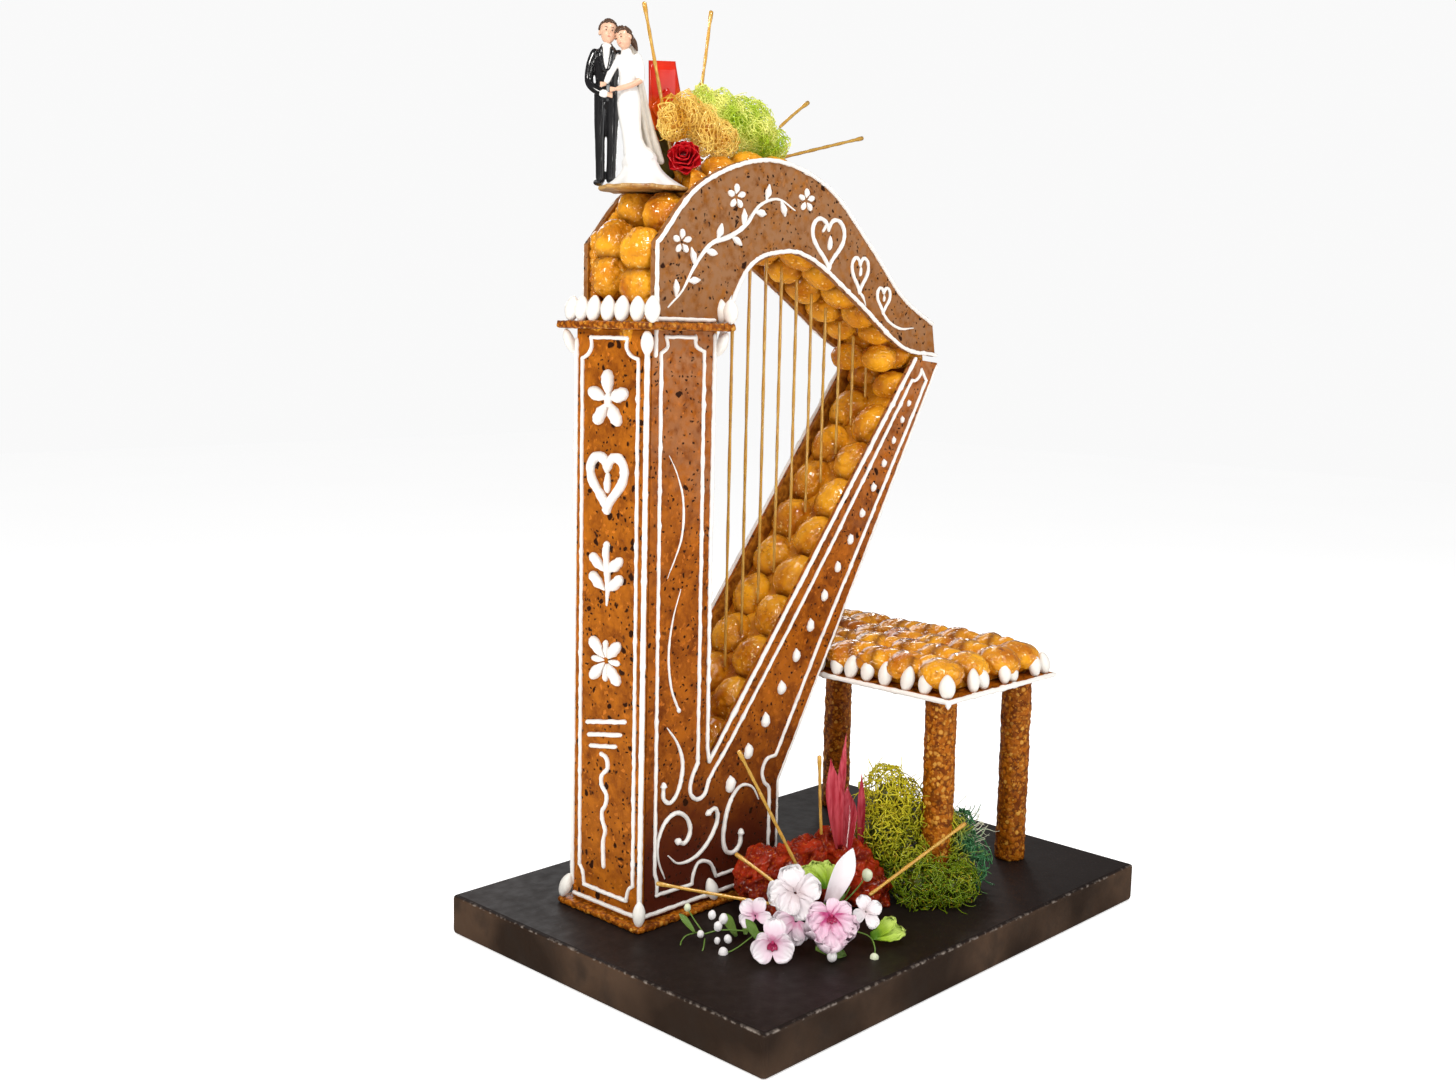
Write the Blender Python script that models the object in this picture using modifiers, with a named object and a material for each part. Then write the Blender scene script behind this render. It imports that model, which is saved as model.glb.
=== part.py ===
"""Croquembouche in the shape of a harp with its stool, on a dark board.

Metres, +Z up. +X runs in the harp's plane from its column to the stool, the
decorated side faces -Y, and the origin is the centre of the board's underside.
Nougatine panels carry the shape, and caramel-dipped puffs fill it.
"""

import math
import random

import bmesh
import bpy
from mathutils import Matrix, Vector

GAP = 0.0003                      # free space between touching pieces

# Board
BOARD_LENGTH = 0.600
BOARD_WIDTH = 0.430
BOARD_HEIGHT = 0.041

# Nougatine box of the harp
PANEL = 0.006                     # thickness of a nougatine panel
NEAR_Y = 0.018                    # outer face of the decorated side
DEPTH = 0.0985                    # over both side panels
FAR_Y = NEAR_Y + DEPTH
MID_Y = NEAR_Y + DEPTH / 2
INNER_HALF = DEPTH / 2 - PANEL - GAP
COLUMN_X = -0.225                 # outer face of the column's front
COLUMN_WIDTH = 0.088
COLUMN_BACK_X = COLUMN_X + COLUMN_WIDTH
FOOT_PLATE = 0.006
FOOT_OVERHANG = 0.011
FOOT_Z = BOARD_HEIGHT + FOOT_PLATE + 2 * GAP
FOOT_END_X = -0.030
COLUMN_TOP = 0.611
CAPITAL = 0.007
CAPITAL_OVERHANG = 0.014
NECK_Z = COLUMN_TOP + CAPITAL + 2 * GAP
V_POINT = Vector((COLUMN_BACK_X, 0.186))     # where column and soundbox part
BOX_TOP_IN = Vector((0.177, 0.5852))
BOX_TOP_OUT = Vector((0.2185, 0.5812))
KNEE_Z = 0.150

# Neck outline, as (x, z) points that smooth curves pass through
NECK_FRONT_X = -0.217
NECK_SHOULDER = (NECK_FRONT_X, 0.690)
NECK_UPPER = [NECK_SHOULDER, (-0.160, 0.748), (-0.070, 0.778), (0.020, 0.760),
              (0.095, 0.703), (0.150, 0.6545), (0.206, 0.626)]
NECK_LOWER = [(0.2135, 0.588), (0.152, 0.597), (0.072, 0.644),
              (0.002, 0.682), (-0.045, 0.688), (-0.095, 0.668),
              (-0.1365, NECK_Z)]

# Puffs, given by their half sizes
PUFF_ACROSS = INNER_HALF / 2 - 0.0006
PUFF_HEIGHT = 0.0215
PUFF_PITCH = 0.043
CORE_INSET = 0.016
CORE_SIDE_GAP = 0.0012
PUFF_DETAIL = 0.5                 # share of the fused puffs' faces kept
NOSE_CORE_X = 0.190               # the packed core ends here in the nose

# Strings
STRING_COUNT = 11
STRING_FIRST_X = -0.0865
STRING_PITCH = 0.024
STRING_RADIUS = 0.0014

# Stool
STOOL_LENGTH = 0.194
STOOL_WIDTH = 0.306
STOOL_CENTRE = Vector((0.1465, 0.0172))
STOOL_PLATE = 0.004
STOOL_TOP = 0.2505
LEG_RADIUS = 0.0160
LEG_INSET = 0.0275
STOOL_PUFFS = (4, 7)              # along the length and the width

# Wedding pair on its wafer
WAFER_RADIUS = 0.042
WAFER_THICKNESS = 0.0035
WAFER_Z = 0.7395
WAFER_CENTRE = Vector((-0.186, MID_Y))
PAIR_HEIGHT = 0.1525
FIGURE_HEIGHT = 0.147             # of the groom as shaped below
GROOM_X = -0.0345
BRIDE_X = -0.0155
PAIR_ACROSS = Vector((0.69, -0.72, 0.0)).normalized()   # groom to bride
PAIR_FRONT = Vector((-0.72, -0.69, 0.0)).normalized()

STICK_RADIUS = 0.0017

PARTS = None
CUTTERS = None


# ---------------------------------------------------------------- helpers

def clear_scene():
    for item in list(bpy.data.objects):
        bpy.data.objects.remove(item, do_unlink=True)


def make_collections():
    global PARTS, CUTTERS
    PARTS = bpy.data.collections.new("croquembouche")
    CUTTERS = bpy.data.collections.new("cutters")
    for group in (PARTS, CUTTERS):
        bpy.context.scene.collection.children.link(group)


def material(name, colour, roughness, metallic=0.0):
    made = bpy.data.materials.get(name)
    if made is None:
        made = bpy.data.materials.new(name)
        made.use_nodes = True
        shader = made.node_tree.nodes["Principled BSDF"]
        shader.inputs["Base Color"].default_value = (*colour, 1.0)
        shader.inputs["Roughness"].default_value = roughness
        shader.inputs["Metallic"].default_value = metallic
    return made


def nougatine():
    return material("nougatine", (0.42, 0.17, 0.04), 0.45)


def nougatine_chopped():
    return material("nougatine_chopped", (0.45, 0.20, 0.05), 0.50)


def caramel():
    return material("caramel_puff", (0.55, 0.24, 0.04), 0.18)


def gold_sugar():
    return material("gold_sugar", (0.60, 0.38, 0.10), 0.35)


def petal_white():
    return material("petal", (0.86, 0.76, 0.82), 0.55)


def red_sugar():
    return material("red_sugar", (0.55, 0.03, 0.02), 0.15)


def place(name, mesh, finish, smooth=False):
    """Put a mesh in the parts collection as one named sub-part."""
    mesh.materials.clear()
    mesh.materials.append(finish)
    if smooth:
        mesh.shade_smooth()
        mesh.set_sharp_from_angle(angle=math.radians(40))
    made = bpy.data.objects.new(name, mesh)
    PARTS.objects.link(made)
    return made


def mesh_from(bm, name):
    bmesh.ops.recalc_face_normals(bm, faces=bm.faces)
    mesh = bpy.data.meshes.new(name)
    bm.to_mesh(mesh)
    bm.free()
    return mesh


def box_mesh(low, high, name, bevel=0.0, segments=1):
    bm = bmesh.new()
    bmesh.ops.create_cube(bm, size=1.0)
    size = [b - a for a, b in zip(low, high)]
    middle = [(a + b) / 2 for a, b in zip(low, high)]
    bmesh.ops.scale(bm, vec=size, verts=bm.verts)
    bmesh.ops.translate(bm, vec=middle, verts=bm.verts)
    if bevel:
        bmesh.ops.bevel(bm, geom=bm.edges, offset=bevel, segments=segments,
                        affect="EDGES", profile=0.5, material=-1)
    return mesh_from(bm, name)


def evaluated_mesh(item):
    """The mesh of an object with its modifiers applied, in world space."""
    graph = bpy.context.evaluated_depsgraph_get()
    seen = item.evaluated_get(graph)
    mesh = bpy.data.meshes.new_from_object(seen, depsgraph=graph)
    mesh.transform(item.matrix_world)
    return mesh


def flat_panel(name, outline, low_y, thickness, finish):
    """Extrude an (x, z) outline into an upright panel."""
    curve = bpy.data.curves.new(name, "CURVE")
    curve.dimensions = "2D"
    curve.fill_mode = "BOTH"
    curve.extrude = thickness / 2
    spline = curve.splines.new("POLY")
    spline.points.add(len(outline) - 1)
    for point, (x, z) in zip(spline.points, outline):
        point.co = (x, z, 0.0, 1.0)
    spline.use_cyclic_u = True
    drawn = bpy.data.objects.new(name + "_outline", curve)
    CUTTERS.objects.link(drawn)
    drawn.rotation_euler = (math.pi / 2, 0.0, 0.0)
    drawn.location = (0.0, low_y + thickness / 2, 0.0)
    bpy.context.view_layer.update()
    mesh = evaluated_mesh(drawn)
    bpy.data.objects.remove(drawn, do_unlink=True)
    bm = bmesh.new()
    bm.from_mesh(mesh)
    bmesh.ops.remove_doubles(bm, verts=bm.verts, dist=1e-6)
    return place(name, mesh_from(bm, name), finish)


def smooth_through(points, steps):
    """Points on a Catmull-Rom curve that passes through the given ones."""
    ends = [2 * Vector(points[0]) - Vector(points[1])]
    ends += [Vector(p) for p in points]
    ends += [2 * Vector(points[-1]) - Vector(points[-2])]
    result = []
    for i in range(1, len(ends) - 2):
        a, b, c, d = ends[i - 1:i + 3]
        for k in range(steps):
            t = k / steps
            result.append(0.5 * (2 * b + (c - a) * t
                                 + (2 * a - 5 * b + 4 * c - d) * t * t
                                 + (3 * b - a - 3 * c + d) * t ** 3))
    result.append(ends[-2])
    return result


def along(path, distance):
    """Point and direction at a distance along a list of points."""
    for a, b in zip(path, path[1:]):
        step = (b - a).length
        if distance <= step:
            return a + (b - a) * (distance / step), (b - a).normalized()
        distance -= step
    return path[-1].copy(), (path[-1] - path[-2]).normalized()


def path_length(path):
    return sum((b - a).length for a, b in zip(path, path[1:]))


def ball_mesh(centre, half_sizes, turn, name, subdivisions=2):
    bm = bmesh.new()
    bmesh.ops.create_icosphere(bm, subdivisions=subdivisions, radius=1.0)
    shape = Matrix.Translation(centre) @ turn @ Matrix.Diagonal((*half_sizes, 1))
    bmesh.ops.transform(bm, matrix=shape, verts=bm.verts)
    return mesh_from(bm, name)


def thinned(mesh, keep):
    """The same closed mesh with a share of its faces."""
    item = bpy.data.objects.new(mesh.name + "_thinned", mesh)
    CUTTERS.objects.link(item)
    thin = item.modifiers.new("thin", "DECIMATE")
    thin.ratio = keep
    lighter = evaluated_mesh(item)
    bpy.data.objects.remove(item, do_unlink=True)
    bm = bmesh.new()
    bm.from_mesh(lighter)
    wires = [edge for edge in bm.edges if not edge.link_faces]
    bmesh.ops.delete(bm, geom=wires, context="EDGES")
    bm.to_mesh(lighter)
    bm.free()
    return lighter


def fused(name, core, meshes, finish, keep=1.0):
    """Union of a core mesh and other closed meshes, as one sub-part."""
    group = bpy.data.collections.new(name + "_pieces")
    CUTTERS.children.link(group)
    for i, mesh in enumerate(meshes):
        piece = bpy.data.objects.new(f"{name}_piece_{i:02d}", mesh)
        group.objects.link(piece)
    body = bpy.data.objects.new(name + "_core", core)
    CUTTERS.objects.link(body)
    union = body.modifiers.new("union", "BOOLEAN")
    union.operation = "UNION"
    union.solver = "EXACT"
    union.operand_type = "COLLECTION"
    union.collection = group
    bpy.context.view_layer.update()
    mesh = evaluated_mesh(body)
    for piece in list(group.objects):
        bpy.data.objects.remove(piece, do_unlink=True)
    bpy.data.objects.remove(body, do_unlink=True)
    bpy.data.collections.remove(group)
    return place(name, thinned(mesh, keep), finish, smooth=True)


def cut_clear(item, neighbour, clearance=GAP + 0.0002):
    """Cut a sub-part back so that it keeps a gap to its neighbour."""
    mesh = evaluated_mesh(neighbour)
    cutter = bpy.data.objects.new(f"{item.name}_cut_{neighbour.name}", mesh)
    CUTTERS.objects.link(cutter)
    cutter.hide_render = True
    cutter.display_type = "WIRE"
    swell = cutter.modifiers.new("swell", "DISPLACE")
    swell.strength = clearance
    swell.mid_level = 0.0
    cut = item.modifiers.new("cut", "BOOLEAN")
    cut.operation = "DIFFERENCE"
    cut.solver = "EXACT"
    cut.object = cutter


def rod(name, start, end, radius, finish, sides=6, taper=1.0):
    """A straight stick from start to end."""
    start, end = Vector(start), Vector(end)
    axis = end - start
    bm = bmesh.new()
    bmesh.ops.create_cone(bm, cap_ends=True, segments=sides, radius1=radius,
                          radius2=radius * taper, depth=axis.length)
    turn = axis.to_track_quat("Z", "Y").to_matrix().to_4x4()
    bmesh.ops.transform(bm, verts=bm.verts,
                        matrix=Matrix.Translation((start + end) / 2) @ turn)
    return place(name, mesh_from(bm, name), finish, smooth=True)


def lumpy_cloud(name, lobes, seed, finish, roughness=0.10):
    """A cloud of spun sugar: overlapping lobes with an uneven outline."""
    noise = random.Random(seed)
    meshes = []
    for centre, half_sizes in lobes:
        bm = bmesh.new()
        bmesh.ops.create_icosphere(bm, subdivisions=2, radius=1.0)
        for vert in bm.verts:
            vert.co *= 1.0 + noise.uniform(-roughness, roughness)
            vert.co = Vector(c + v * h for c, v, h
                             in zip(centre, vert.co, half_sizes))
        meshes.append(mesh_from(bm, name))
    return fused(name, meshes[0], meshes[1:], finish)


def trimmed_flat(item, height):
    """Cut off what lies below a level, so that a cloud sits on it."""
    low = Vector((-0.4, -0.4, height - 0.2))
    high = Vector((0.4, 0.4, height))
    cutter = bpy.data.objects.new(item.name + "_below",
                                  box_mesh(low, high, item.name + "_below"))
    CUTTERS.objects.link(cutter)
    cutter.hide_render = True
    cutter.display_type = "WIRE"
    cut = item.modifiers.new("flat", "BOOLEAN")
    cut.operation = "DIFFERENCE"
    cut.solver = "EXACT"
    cut.object = cutter


# ------------------------------------------------------------- base, harp

def build_board():
    low = (-BOARD_LENGTH / 2, -BOARD_WIDTH / 2, 0.0)
    high = (BOARD_LENGTH / 2, BOARD_WIDTH / 2, BOARD_HEIGHT)
    place("board", box_mesh(low, high, "board", bevel=0.004, segments=2),
          material("board", (0.025, 0.019, 0.018), 0.35))


def build_foot_plate():
    low_z = BOARD_HEIGHT + GAP
    low = (COLUMN_X - FOOT_OVERHANG, NEAR_Y - FOOT_OVERHANG, low_z)
    high = (FOOT_END_X + FOOT_OVERHANG, FAR_Y + FOOT_OVERHANG,
            low_z + FOOT_PLATE)
    place("foot_plate", box_mesh(low, high, "foot_plate", bevel=0.0015),
          nougatine_chopped())


def build_capital():
    low_z = COLUMN_TOP + GAP
    low = (COLUMN_X - CAPITAL_OVERHANG, NEAR_Y - CAPITAL_OVERHANG, low_z)
    high = (COLUMN_BACK_X + CAPITAL_OVERHANG, FAR_Y + CAPITAL_OVERHANG,
            low_z + CAPITAL)
    place("capital_plate", box_mesh(low, high, "capital_plate", bevel=0.0015),
          nougatine_chopped())


def build_column():
    low = (COLUMN_X, NEAR_Y, FOOT_Z)
    high = (COLUMN_X + PANEL, FAR_Y, COLUMN_TOP)
    place("column_front", box_mesh(low, high, "column_front", bevel=0.0008),
          nougatine())
    low = (COLUMN_BACK_X - PANEL, NEAR_Y + PANEL + GAP, V_POINT.y - 0.02)
    high = (COLUMN_BACK_X, FAR_Y - PANEL - GAP, COLUMN_TOP)
    place("column_back", box_mesh(low, high, "column_back", bevel=0.0008),
          nougatine())


def build_sides():
    """Two V-shaped panels: column side, foot and soundbox side in one."""
    front = COLUMN_X + PANEL + GAP
    outline = [(front, FOOT_Z), (FOOT_END_X, FOOT_Z), (FOOT_END_X, KNEE_Z),
               tuple(BOX_TOP_OUT), tuple(BOX_TOP_IN), tuple(V_POINT),
               (COLUMN_BACK_X, COLUMN_TOP), (front, COLUMN_TOP)]
    flat_panel("side_near", outline, NEAR_Y, PANEL, nougatine())
    flat_panel("side_far", outline, FAR_Y - PANEL, PANEL, nougatine())


def soundbox_back_line():
    """Outer edge of the soundbox, from the foot up to the neck."""
    return [Vector((FOOT_END_X, FOOT_Z)), Vector((FOOT_END_X, KNEE_Z)),
            BOX_TOP_OUT.copy()]


def build_soundbox_back():
    """Nougatine strip that closes the soundbox behind, between the sides."""
    foot, knee, top = soundbox_back_line()
    rise = (top - knee).normalized()
    inward = Vector((-rise.y, rise.x))
    tip = top - rise * 0.004
    knee_in = knee + inward * PANEL
    bend = (FOOT_END_X - PANEL - knee_in.x) / rise.x
    knee_in += rise * bend
    outline = [tuple(foot), tuple(knee), tuple(tip),
               tuple(tip + inward * PANEL), tuple(knee_in),
               (FOOT_END_X - PANEL, FOOT_Z)]
    flat_panel("soundbox_back", outline, NEAR_Y + PANEL + GAP,
               DEPTH - 2 * (PANEL + GAP), nougatine())


def neck_upper():
    return smooth_through(NECK_UPPER, 4)


def neck_lower():
    return smooth_through(NECK_LOWER, 4)


def build_neck_panels():
    outline = [(NECK_FRONT_X, NECK_Z)]
    outline += [tuple(p) for p in neck_upper()]
    outline += [tuple(p) for p in neck_lower()]
    flat_panel("neck_near", outline, NEAR_Y, PANEL, nougatine())
    flat_panel("neck_far", outline, FAR_Y - PANEL, PANEL, nougatine())


# ------------------------------------------------------------------ puffs

def in_plane(direction):
    """Turn that lays local X along an (x, z) direction, local Z outwards."""
    normal = Vector((-direction.y, direction.x))
    rows = ((direction.x, 0.0, normal.x), (0.0, 1.0, 0.0),
            (direction.y, 0.0, normal.y))
    return Matrix(rows).to_4x4()


def puff_pair(path, distance, inset, half_sizes, noise, stagger, name):
    """Two puffs side by side across the harp, at a place along a path."""
    meshes = []
    for side in (-1, 1):
        shift = side * stagger / 2
        point, direction = along(path, distance + shift)
        centre = point - Vector((-direction.y, direction.x)) * inset
        size = 1.0 - noise.uniform(0.0, 0.06)
        halves = (half_sizes[0] * size, half_sizes[1], half_sizes[2] * size)
        place_at = (centre.x, MID_Y + side * (PUFF_ACROSS + GAP), centre.y)
        meshes.append(ball_mesh(place_at, halves, in_plane(direction), name))
    return meshes


def offset_path(path, inset):
    moved = []
    for i, point in enumerate(path):
        ahead = path[min(i + 1, len(path) - 1)]
        behind = path[max(i - 1, 0)]
        direction = (ahead - behind).normalized()
        moved.append(point - Vector((-direction.y, direction.x)) * inset)
    return moved


def build_neck_puffs():
    """Puffs over and under the arch, fused by caramel to a packed core."""
    noise = random.Random(3)
    front = [Vector((NECK_FRONT_X, NECK_Z)), Vector(NECK_SHOULDER)]
    top_path = front[:1] + neck_upper()
    under_path = neck_lower()
    core_top = offset_path(top_path, CORE_INSET)
    core_under = offset_path(under_path, CORE_INSET)
    core_top = [p for p in core_top
                if p.y > NECK_Z + CORE_INSET or 0 < p.x < NOSE_CORE_X]
    core_under = [p for p in core_under
                  if p.y > NECK_Z + CORE_INSET or 0 < p.x < NOSE_CORE_X]
    floor = NECK_Z + GAP
    outline = [(core_top[0].x, floor)] + [tuple(p) for p in core_top]
    outline += [tuple(p) for p in core_under] + [(core_under[-1].x, floor)]
    half = INNER_HALF - CORE_SIDE_GAP
    panel = flat_panel("neck_core", outline, MID_Y - half, 2 * half, caramel())
    core = evaluated_mesh(panel)
    bpy.data.objects.remove(panel, do_unlink=True)
    meshes = []
    rows = int((path_length(top_path) - 0.035) / PUFF_PITCH)
    for row in range(rows):
        distance = 0.0235 + row * PUFF_PITCH
        thin = 0.72 if row > rows - 3 else 1.0
        halves = (0.0225, PUFF_ACROSS, PUFF_HEIGHT * thin)
        meshes += puff_pair(top_path, distance, 0.0125 * thin, halves, noise,
                            0.006, "neck_puff")
    under_rows = int((path_length(under_path) - 0.03) / PUFF_PITCH)
    for row in range(under_rows):
        distance = 0.050 + row * PUFF_PITCH
        thin = 0.62 if row < 2 else 1.0
        halves = (0.0222, PUFF_ACROSS, 0.018 * thin)
        meshes += puff_pair(under_path, distance, 0.0140 * thin + 0.002,
                            halves, noise, 0.004, "neck_puff")
    support = (WAFER_CENTRE.x - 0.004, MID_Y, WAFER_Z - GAP - 0.0165)
    meshes.append(ball_mesh(support, (0.019, 0.019, 0.0165),
                            Matrix.Identity(4), "neck_puff"))
    return fused("neck_puffs", core, meshes, caramel(), PUFF_DETAIL)


def build_soundbox_puffs():
    """Two staggered columns of puffs up the soundbox, on a packed core."""
    noise = random.Random(9)
    direction = (BOX_TOP_IN - V_POINT).normalized()
    normal = Vector((-direction.y, direction.x))
    length = (BOX_TOP_IN - V_POINT).length
    start = V_POINT + direction * 0.030 - normal * 0.0165
    end = V_POINT + direction * (length - 0.020) - normal * 0.0165
    outline = [tuple(start), tuple(end), tuple(end - normal * 0.008),
               tuple(start - normal * 0.022)]
    half = INNER_HALF - CORE_SIDE_GAP
    panel = flat_panel("box_core", outline, MID_Y - half, 2 * half, caramel())
    core = evaluated_mesh(panel)
    bpy.data.objects.remove(panel, do_unlink=True)
    path = [V_POINT.copy(), BOX_TOP_IN.copy()]
    meshes = []
    rows = 10
    pitch = (length - 0.062) / (rows - 1)
    for row in range(rows):
        distance = 0.041 + row * pitch
        small = 1.0 if row < rows - 1 else 0.62
        halves = (0.0262 * small, PUFF_ACROSS, 0.0225 * small)
        meshes += puff_pair(path, distance, 0.0215 * small, halves, noise,
                            pitch * 0.36 * small, "box_puff")
    return fused("soundbox_puffs", core, meshes, caramel(), PUFF_DETAIL)


def build_stool_puffs():
    """Flattened puffs set side by side as the stool's cushion."""
    noise = random.Random(8)
    floor = STOOL_TOP + GAP
    margin = 0.008
    count_long, count_cross = STOOL_PUFFS
    long_pitch = (STOOL_LENGTH - 2 * margin) / count_long
    cross_pitch = (STOOL_WIDTH - 2 * margin) / count_cross
    half_long = STOOL_LENGTH / 2 - margin - 0.012
    half_cross = STOOL_WIDTH / 2 - margin - 0.012
    low = (STOOL_CENTRE.x - half_long, STOOL_CENTRE.y - half_cross, floor)
    high = (STOOL_CENTRE.x + half_long, STOOL_CENTRE.y + half_cross,
            floor + 0.022)
    core = box_mesh(low, high, "stool_core", bevel=0.002)
    meshes = []
    for i in range(count_long):
        for j in range(count_cross):
            x = (i - (count_long - 1) / 2) * long_pitch
            y = (j - (count_cross - 1) / 2) * cross_pitch
            x += noise.uniform(-0.002, 0.002)
            y += noise.uniform(-0.002, 0.002)
            height = 0.0165 + noise.uniform(-0.0012, 0.0012)
            centre = (STOOL_CENTRE.x + x, STOOL_CENTRE.y + y, floor + height)
            halves = (long_pitch * 0.52, cross_pitch * 0.53, height)
            turn = Matrix.Rotation(noise.uniform(-0.3, 0.3), 4, "Z")
            meshes.append(ball_mesh(centre, halves, turn, "stool_puff"))
    return fused("stool_puffs", core, meshes, caramel(), PUFF_DETAIL)


# ---------------------------------------------------------------- strings

def height_on(path, x):
    """Height of an (x, z) path at a given x."""
    for a, b in zip(path, path[1:]):
        if min(a.x, b.x) <= x <= max(a.x, b.x):
            return a.y + (b.y - a.y) * (x - a.x) / (b.x - a.x)
    raise ValueError(x)


def build_strings():
    """Caramel strings from the arch's underside to the soundbox."""
    under = neck_lower()
    rise = (BOX_TOP_IN.y - V_POINT.y) / (BOX_TOP_IN.x - V_POINT.x)
    for i in range(STRING_COUNT):
        x = STRING_FIRST_X + i * STRING_PITCH
        top = height_on(under, x) - 0.0005
        bottom = V_POINT.y + (x - V_POINT.x) * rise - 0.013
        rod(f"string_{i + 1:02d}", (x, MID_Y, bottom), (x, MID_Y, top),
            STRING_RADIUS, gold_sugar())


# ------------------------------------------------------------------ stool

def build_stool():
    low = (STOOL_CENTRE.x - STOOL_LENGTH / 2, STOOL_CENTRE.y - STOOL_WIDTH / 2,
           STOOL_TOP - STOOL_PLATE)
    high = (STOOL_CENTRE.x + STOOL_LENGTH / 2,
            STOOL_CENTRE.y + STOOL_WIDTH / 2, STOOL_TOP)
    place("stool_plate", box_mesh(low, high, "stool_plate", bevel=0.001),
          nougatine())
    spread_x = STOOL_LENGTH / 2 - LEG_INSET
    spread_y = STOOL_WIDTH / 2 - LEG_INSET
    corners = [(-1, -1), (1, -1), (1, 1), (-1, 1)]
    for i, (side_x, side_y) in enumerate(corners):
        x = STOOL_CENTRE.x + side_x * spread_x
        y = STOOL_CENTRE.y + side_y * spread_y
        rod(f"stool_leg_{i + 1}", (x, y, BOARD_HEIGHT + GAP),
            (x, y, STOOL_TOP - STOOL_PLATE - GAP), LEG_RADIUS,
            nougatine_chopped(), sides=16)


# ------------------------------------------------------------ wedding pair

def build_wafer():
    bm = bmesh.new()
    bmesh.ops.create_cone(bm, cap_ends=True, segments=32, radius1=WAFER_RADIUS,
                          radius2=WAFER_RADIUS, depth=WAFER_THICKNESS)
    for vert in bm.verts:
        angle = math.atan2(vert.co.y, vert.co.x)
        wave = 1.0 + 0.018 * math.sin(9 * angle)
        vert.co.x *= wave
        vert.co.y *= wave
    middle = WAFER_Z + WAFER_THICKNESS / 2
    bmesh.ops.translate(bm, verts=bm.verts,
                        vec=(WAFER_CENTRE.x, WAFER_CENTRE.y, middle))
    place("couple_wafer", mesh_from(bm, "couple_wafer"), nougatine())


def cut_wafer_seat(puffs):
    """Level the puffs under and beside the wafer."""
    height = 0.045
    bm = bmesh.new()
    radius = WAFER_RADIUS + 0.0022
    bmesh.ops.create_cone(bm, cap_ends=True, segments=32, radius1=radius,
                          radius2=radius, depth=height)
    middle = WAFER_Z - GAP + height / 2
    bmesh.ops.translate(bm, verts=bm.verts,
                        vec=(WAFER_CENTRE.x, WAFER_CENTRE.y, middle))
    cutter = bpy.data.objects.new("wafer_seat", mesh_from(bm, "wafer_seat"))
    CUTTERS.objects.link(cutter)
    cutter.hide_render = True
    cutter.display_type = "WIRE"
    cut = puffs.modifiers.new("seat", "BOOLEAN")
    cut.operation = "DIFFERENCE"
    cut.solver = "EXACT"
    cut.object = cutter


def limb(bm, start, end, radius_start, radius_end):
    """A tapered limb with round ends, for the moulded figures."""
    start, end = Vector(start), Vector(end)
    axis = end - start
    turn = axis.to_track_quat("Z", "Y").to_matrix().to_4x4()
    bmesh.ops.create_cone(bm, cap_ends=True, segments=12, radius1=radius_start,
                          radius2=radius_end, depth=axis.length,
                          matrix=Matrix.Translation((start + end) / 2) @ turn)
    for point, radius in ((start, radius_start), (end, radius_end)):
        bmesh.ops.create_icosphere(bm, subdivisions=2, radius=radius,
                                   matrix=Matrix.Translation(point))


def oval(bm, centre, half_sizes, lean=0.0):
    shape = Matrix.Translation(centre) @ Matrix.Rotation(lean, 4, "Y")
    bmesh.ops.create_icosphere(bm, subdivisions=3, radius=1.0,
                               matrix=shape @ Matrix.Diagonal((*half_sizes, 1)))


def groom_shape(bm, x):
    """Groom in a tailcoat; local X runs to the bride, -Y to the front."""
    for side in (-1, 1):
        limb(bm, (x + side * 0.0050, 0, 0.078), (x + side * 0.0052, 0, 0.040),
             0.0066, 0.0048)
        limb(bm, (x + side * 0.0052, 0, 0.040), (x + side * 0.0048, 0, 0.006),
             0.0048, 0.0036)
        limb(bm, (x + side * 0.0052, 0.001, 0.0034),
             (x + side * 0.0075, -0.008, 0.0028), 0.0034, 0.0026)
        limb(bm, (x + side * 0.0115, 0.001, 0.1155),
             (x + side * 0.0150, 0.001, 0.092), 0.0050, 0.0044)
    oval(bm, (x, 0.0, 0.104), (0.0125, 0.0078, 0.0205))
    oval(bm, (x, 0.0005, 0.082), (0.0112, 0.0074, 0.016))
    oval(bm, (x, 0.004, 0.062), (0.0105, 0.0040, 0.020))
    limb(bm, (x - 0.0150, 0.001, 0.092), (x + 0.004, -0.0085, 0.080),
         0.0042, 0.0034)
    limb(bm, (x, 0, 0.118), (x + 0.0008, -0.0005, 0.127), 0.0042, 0.0038)
    oval(bm, (x + 0.0012, -0.001, 0.1345), (0.0078, 0.0088, 0.0098))
    oval(bm, (x + 0.0012, 0.0012, 0.1385), (0.0084, 0.0090, 0.0085))


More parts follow.
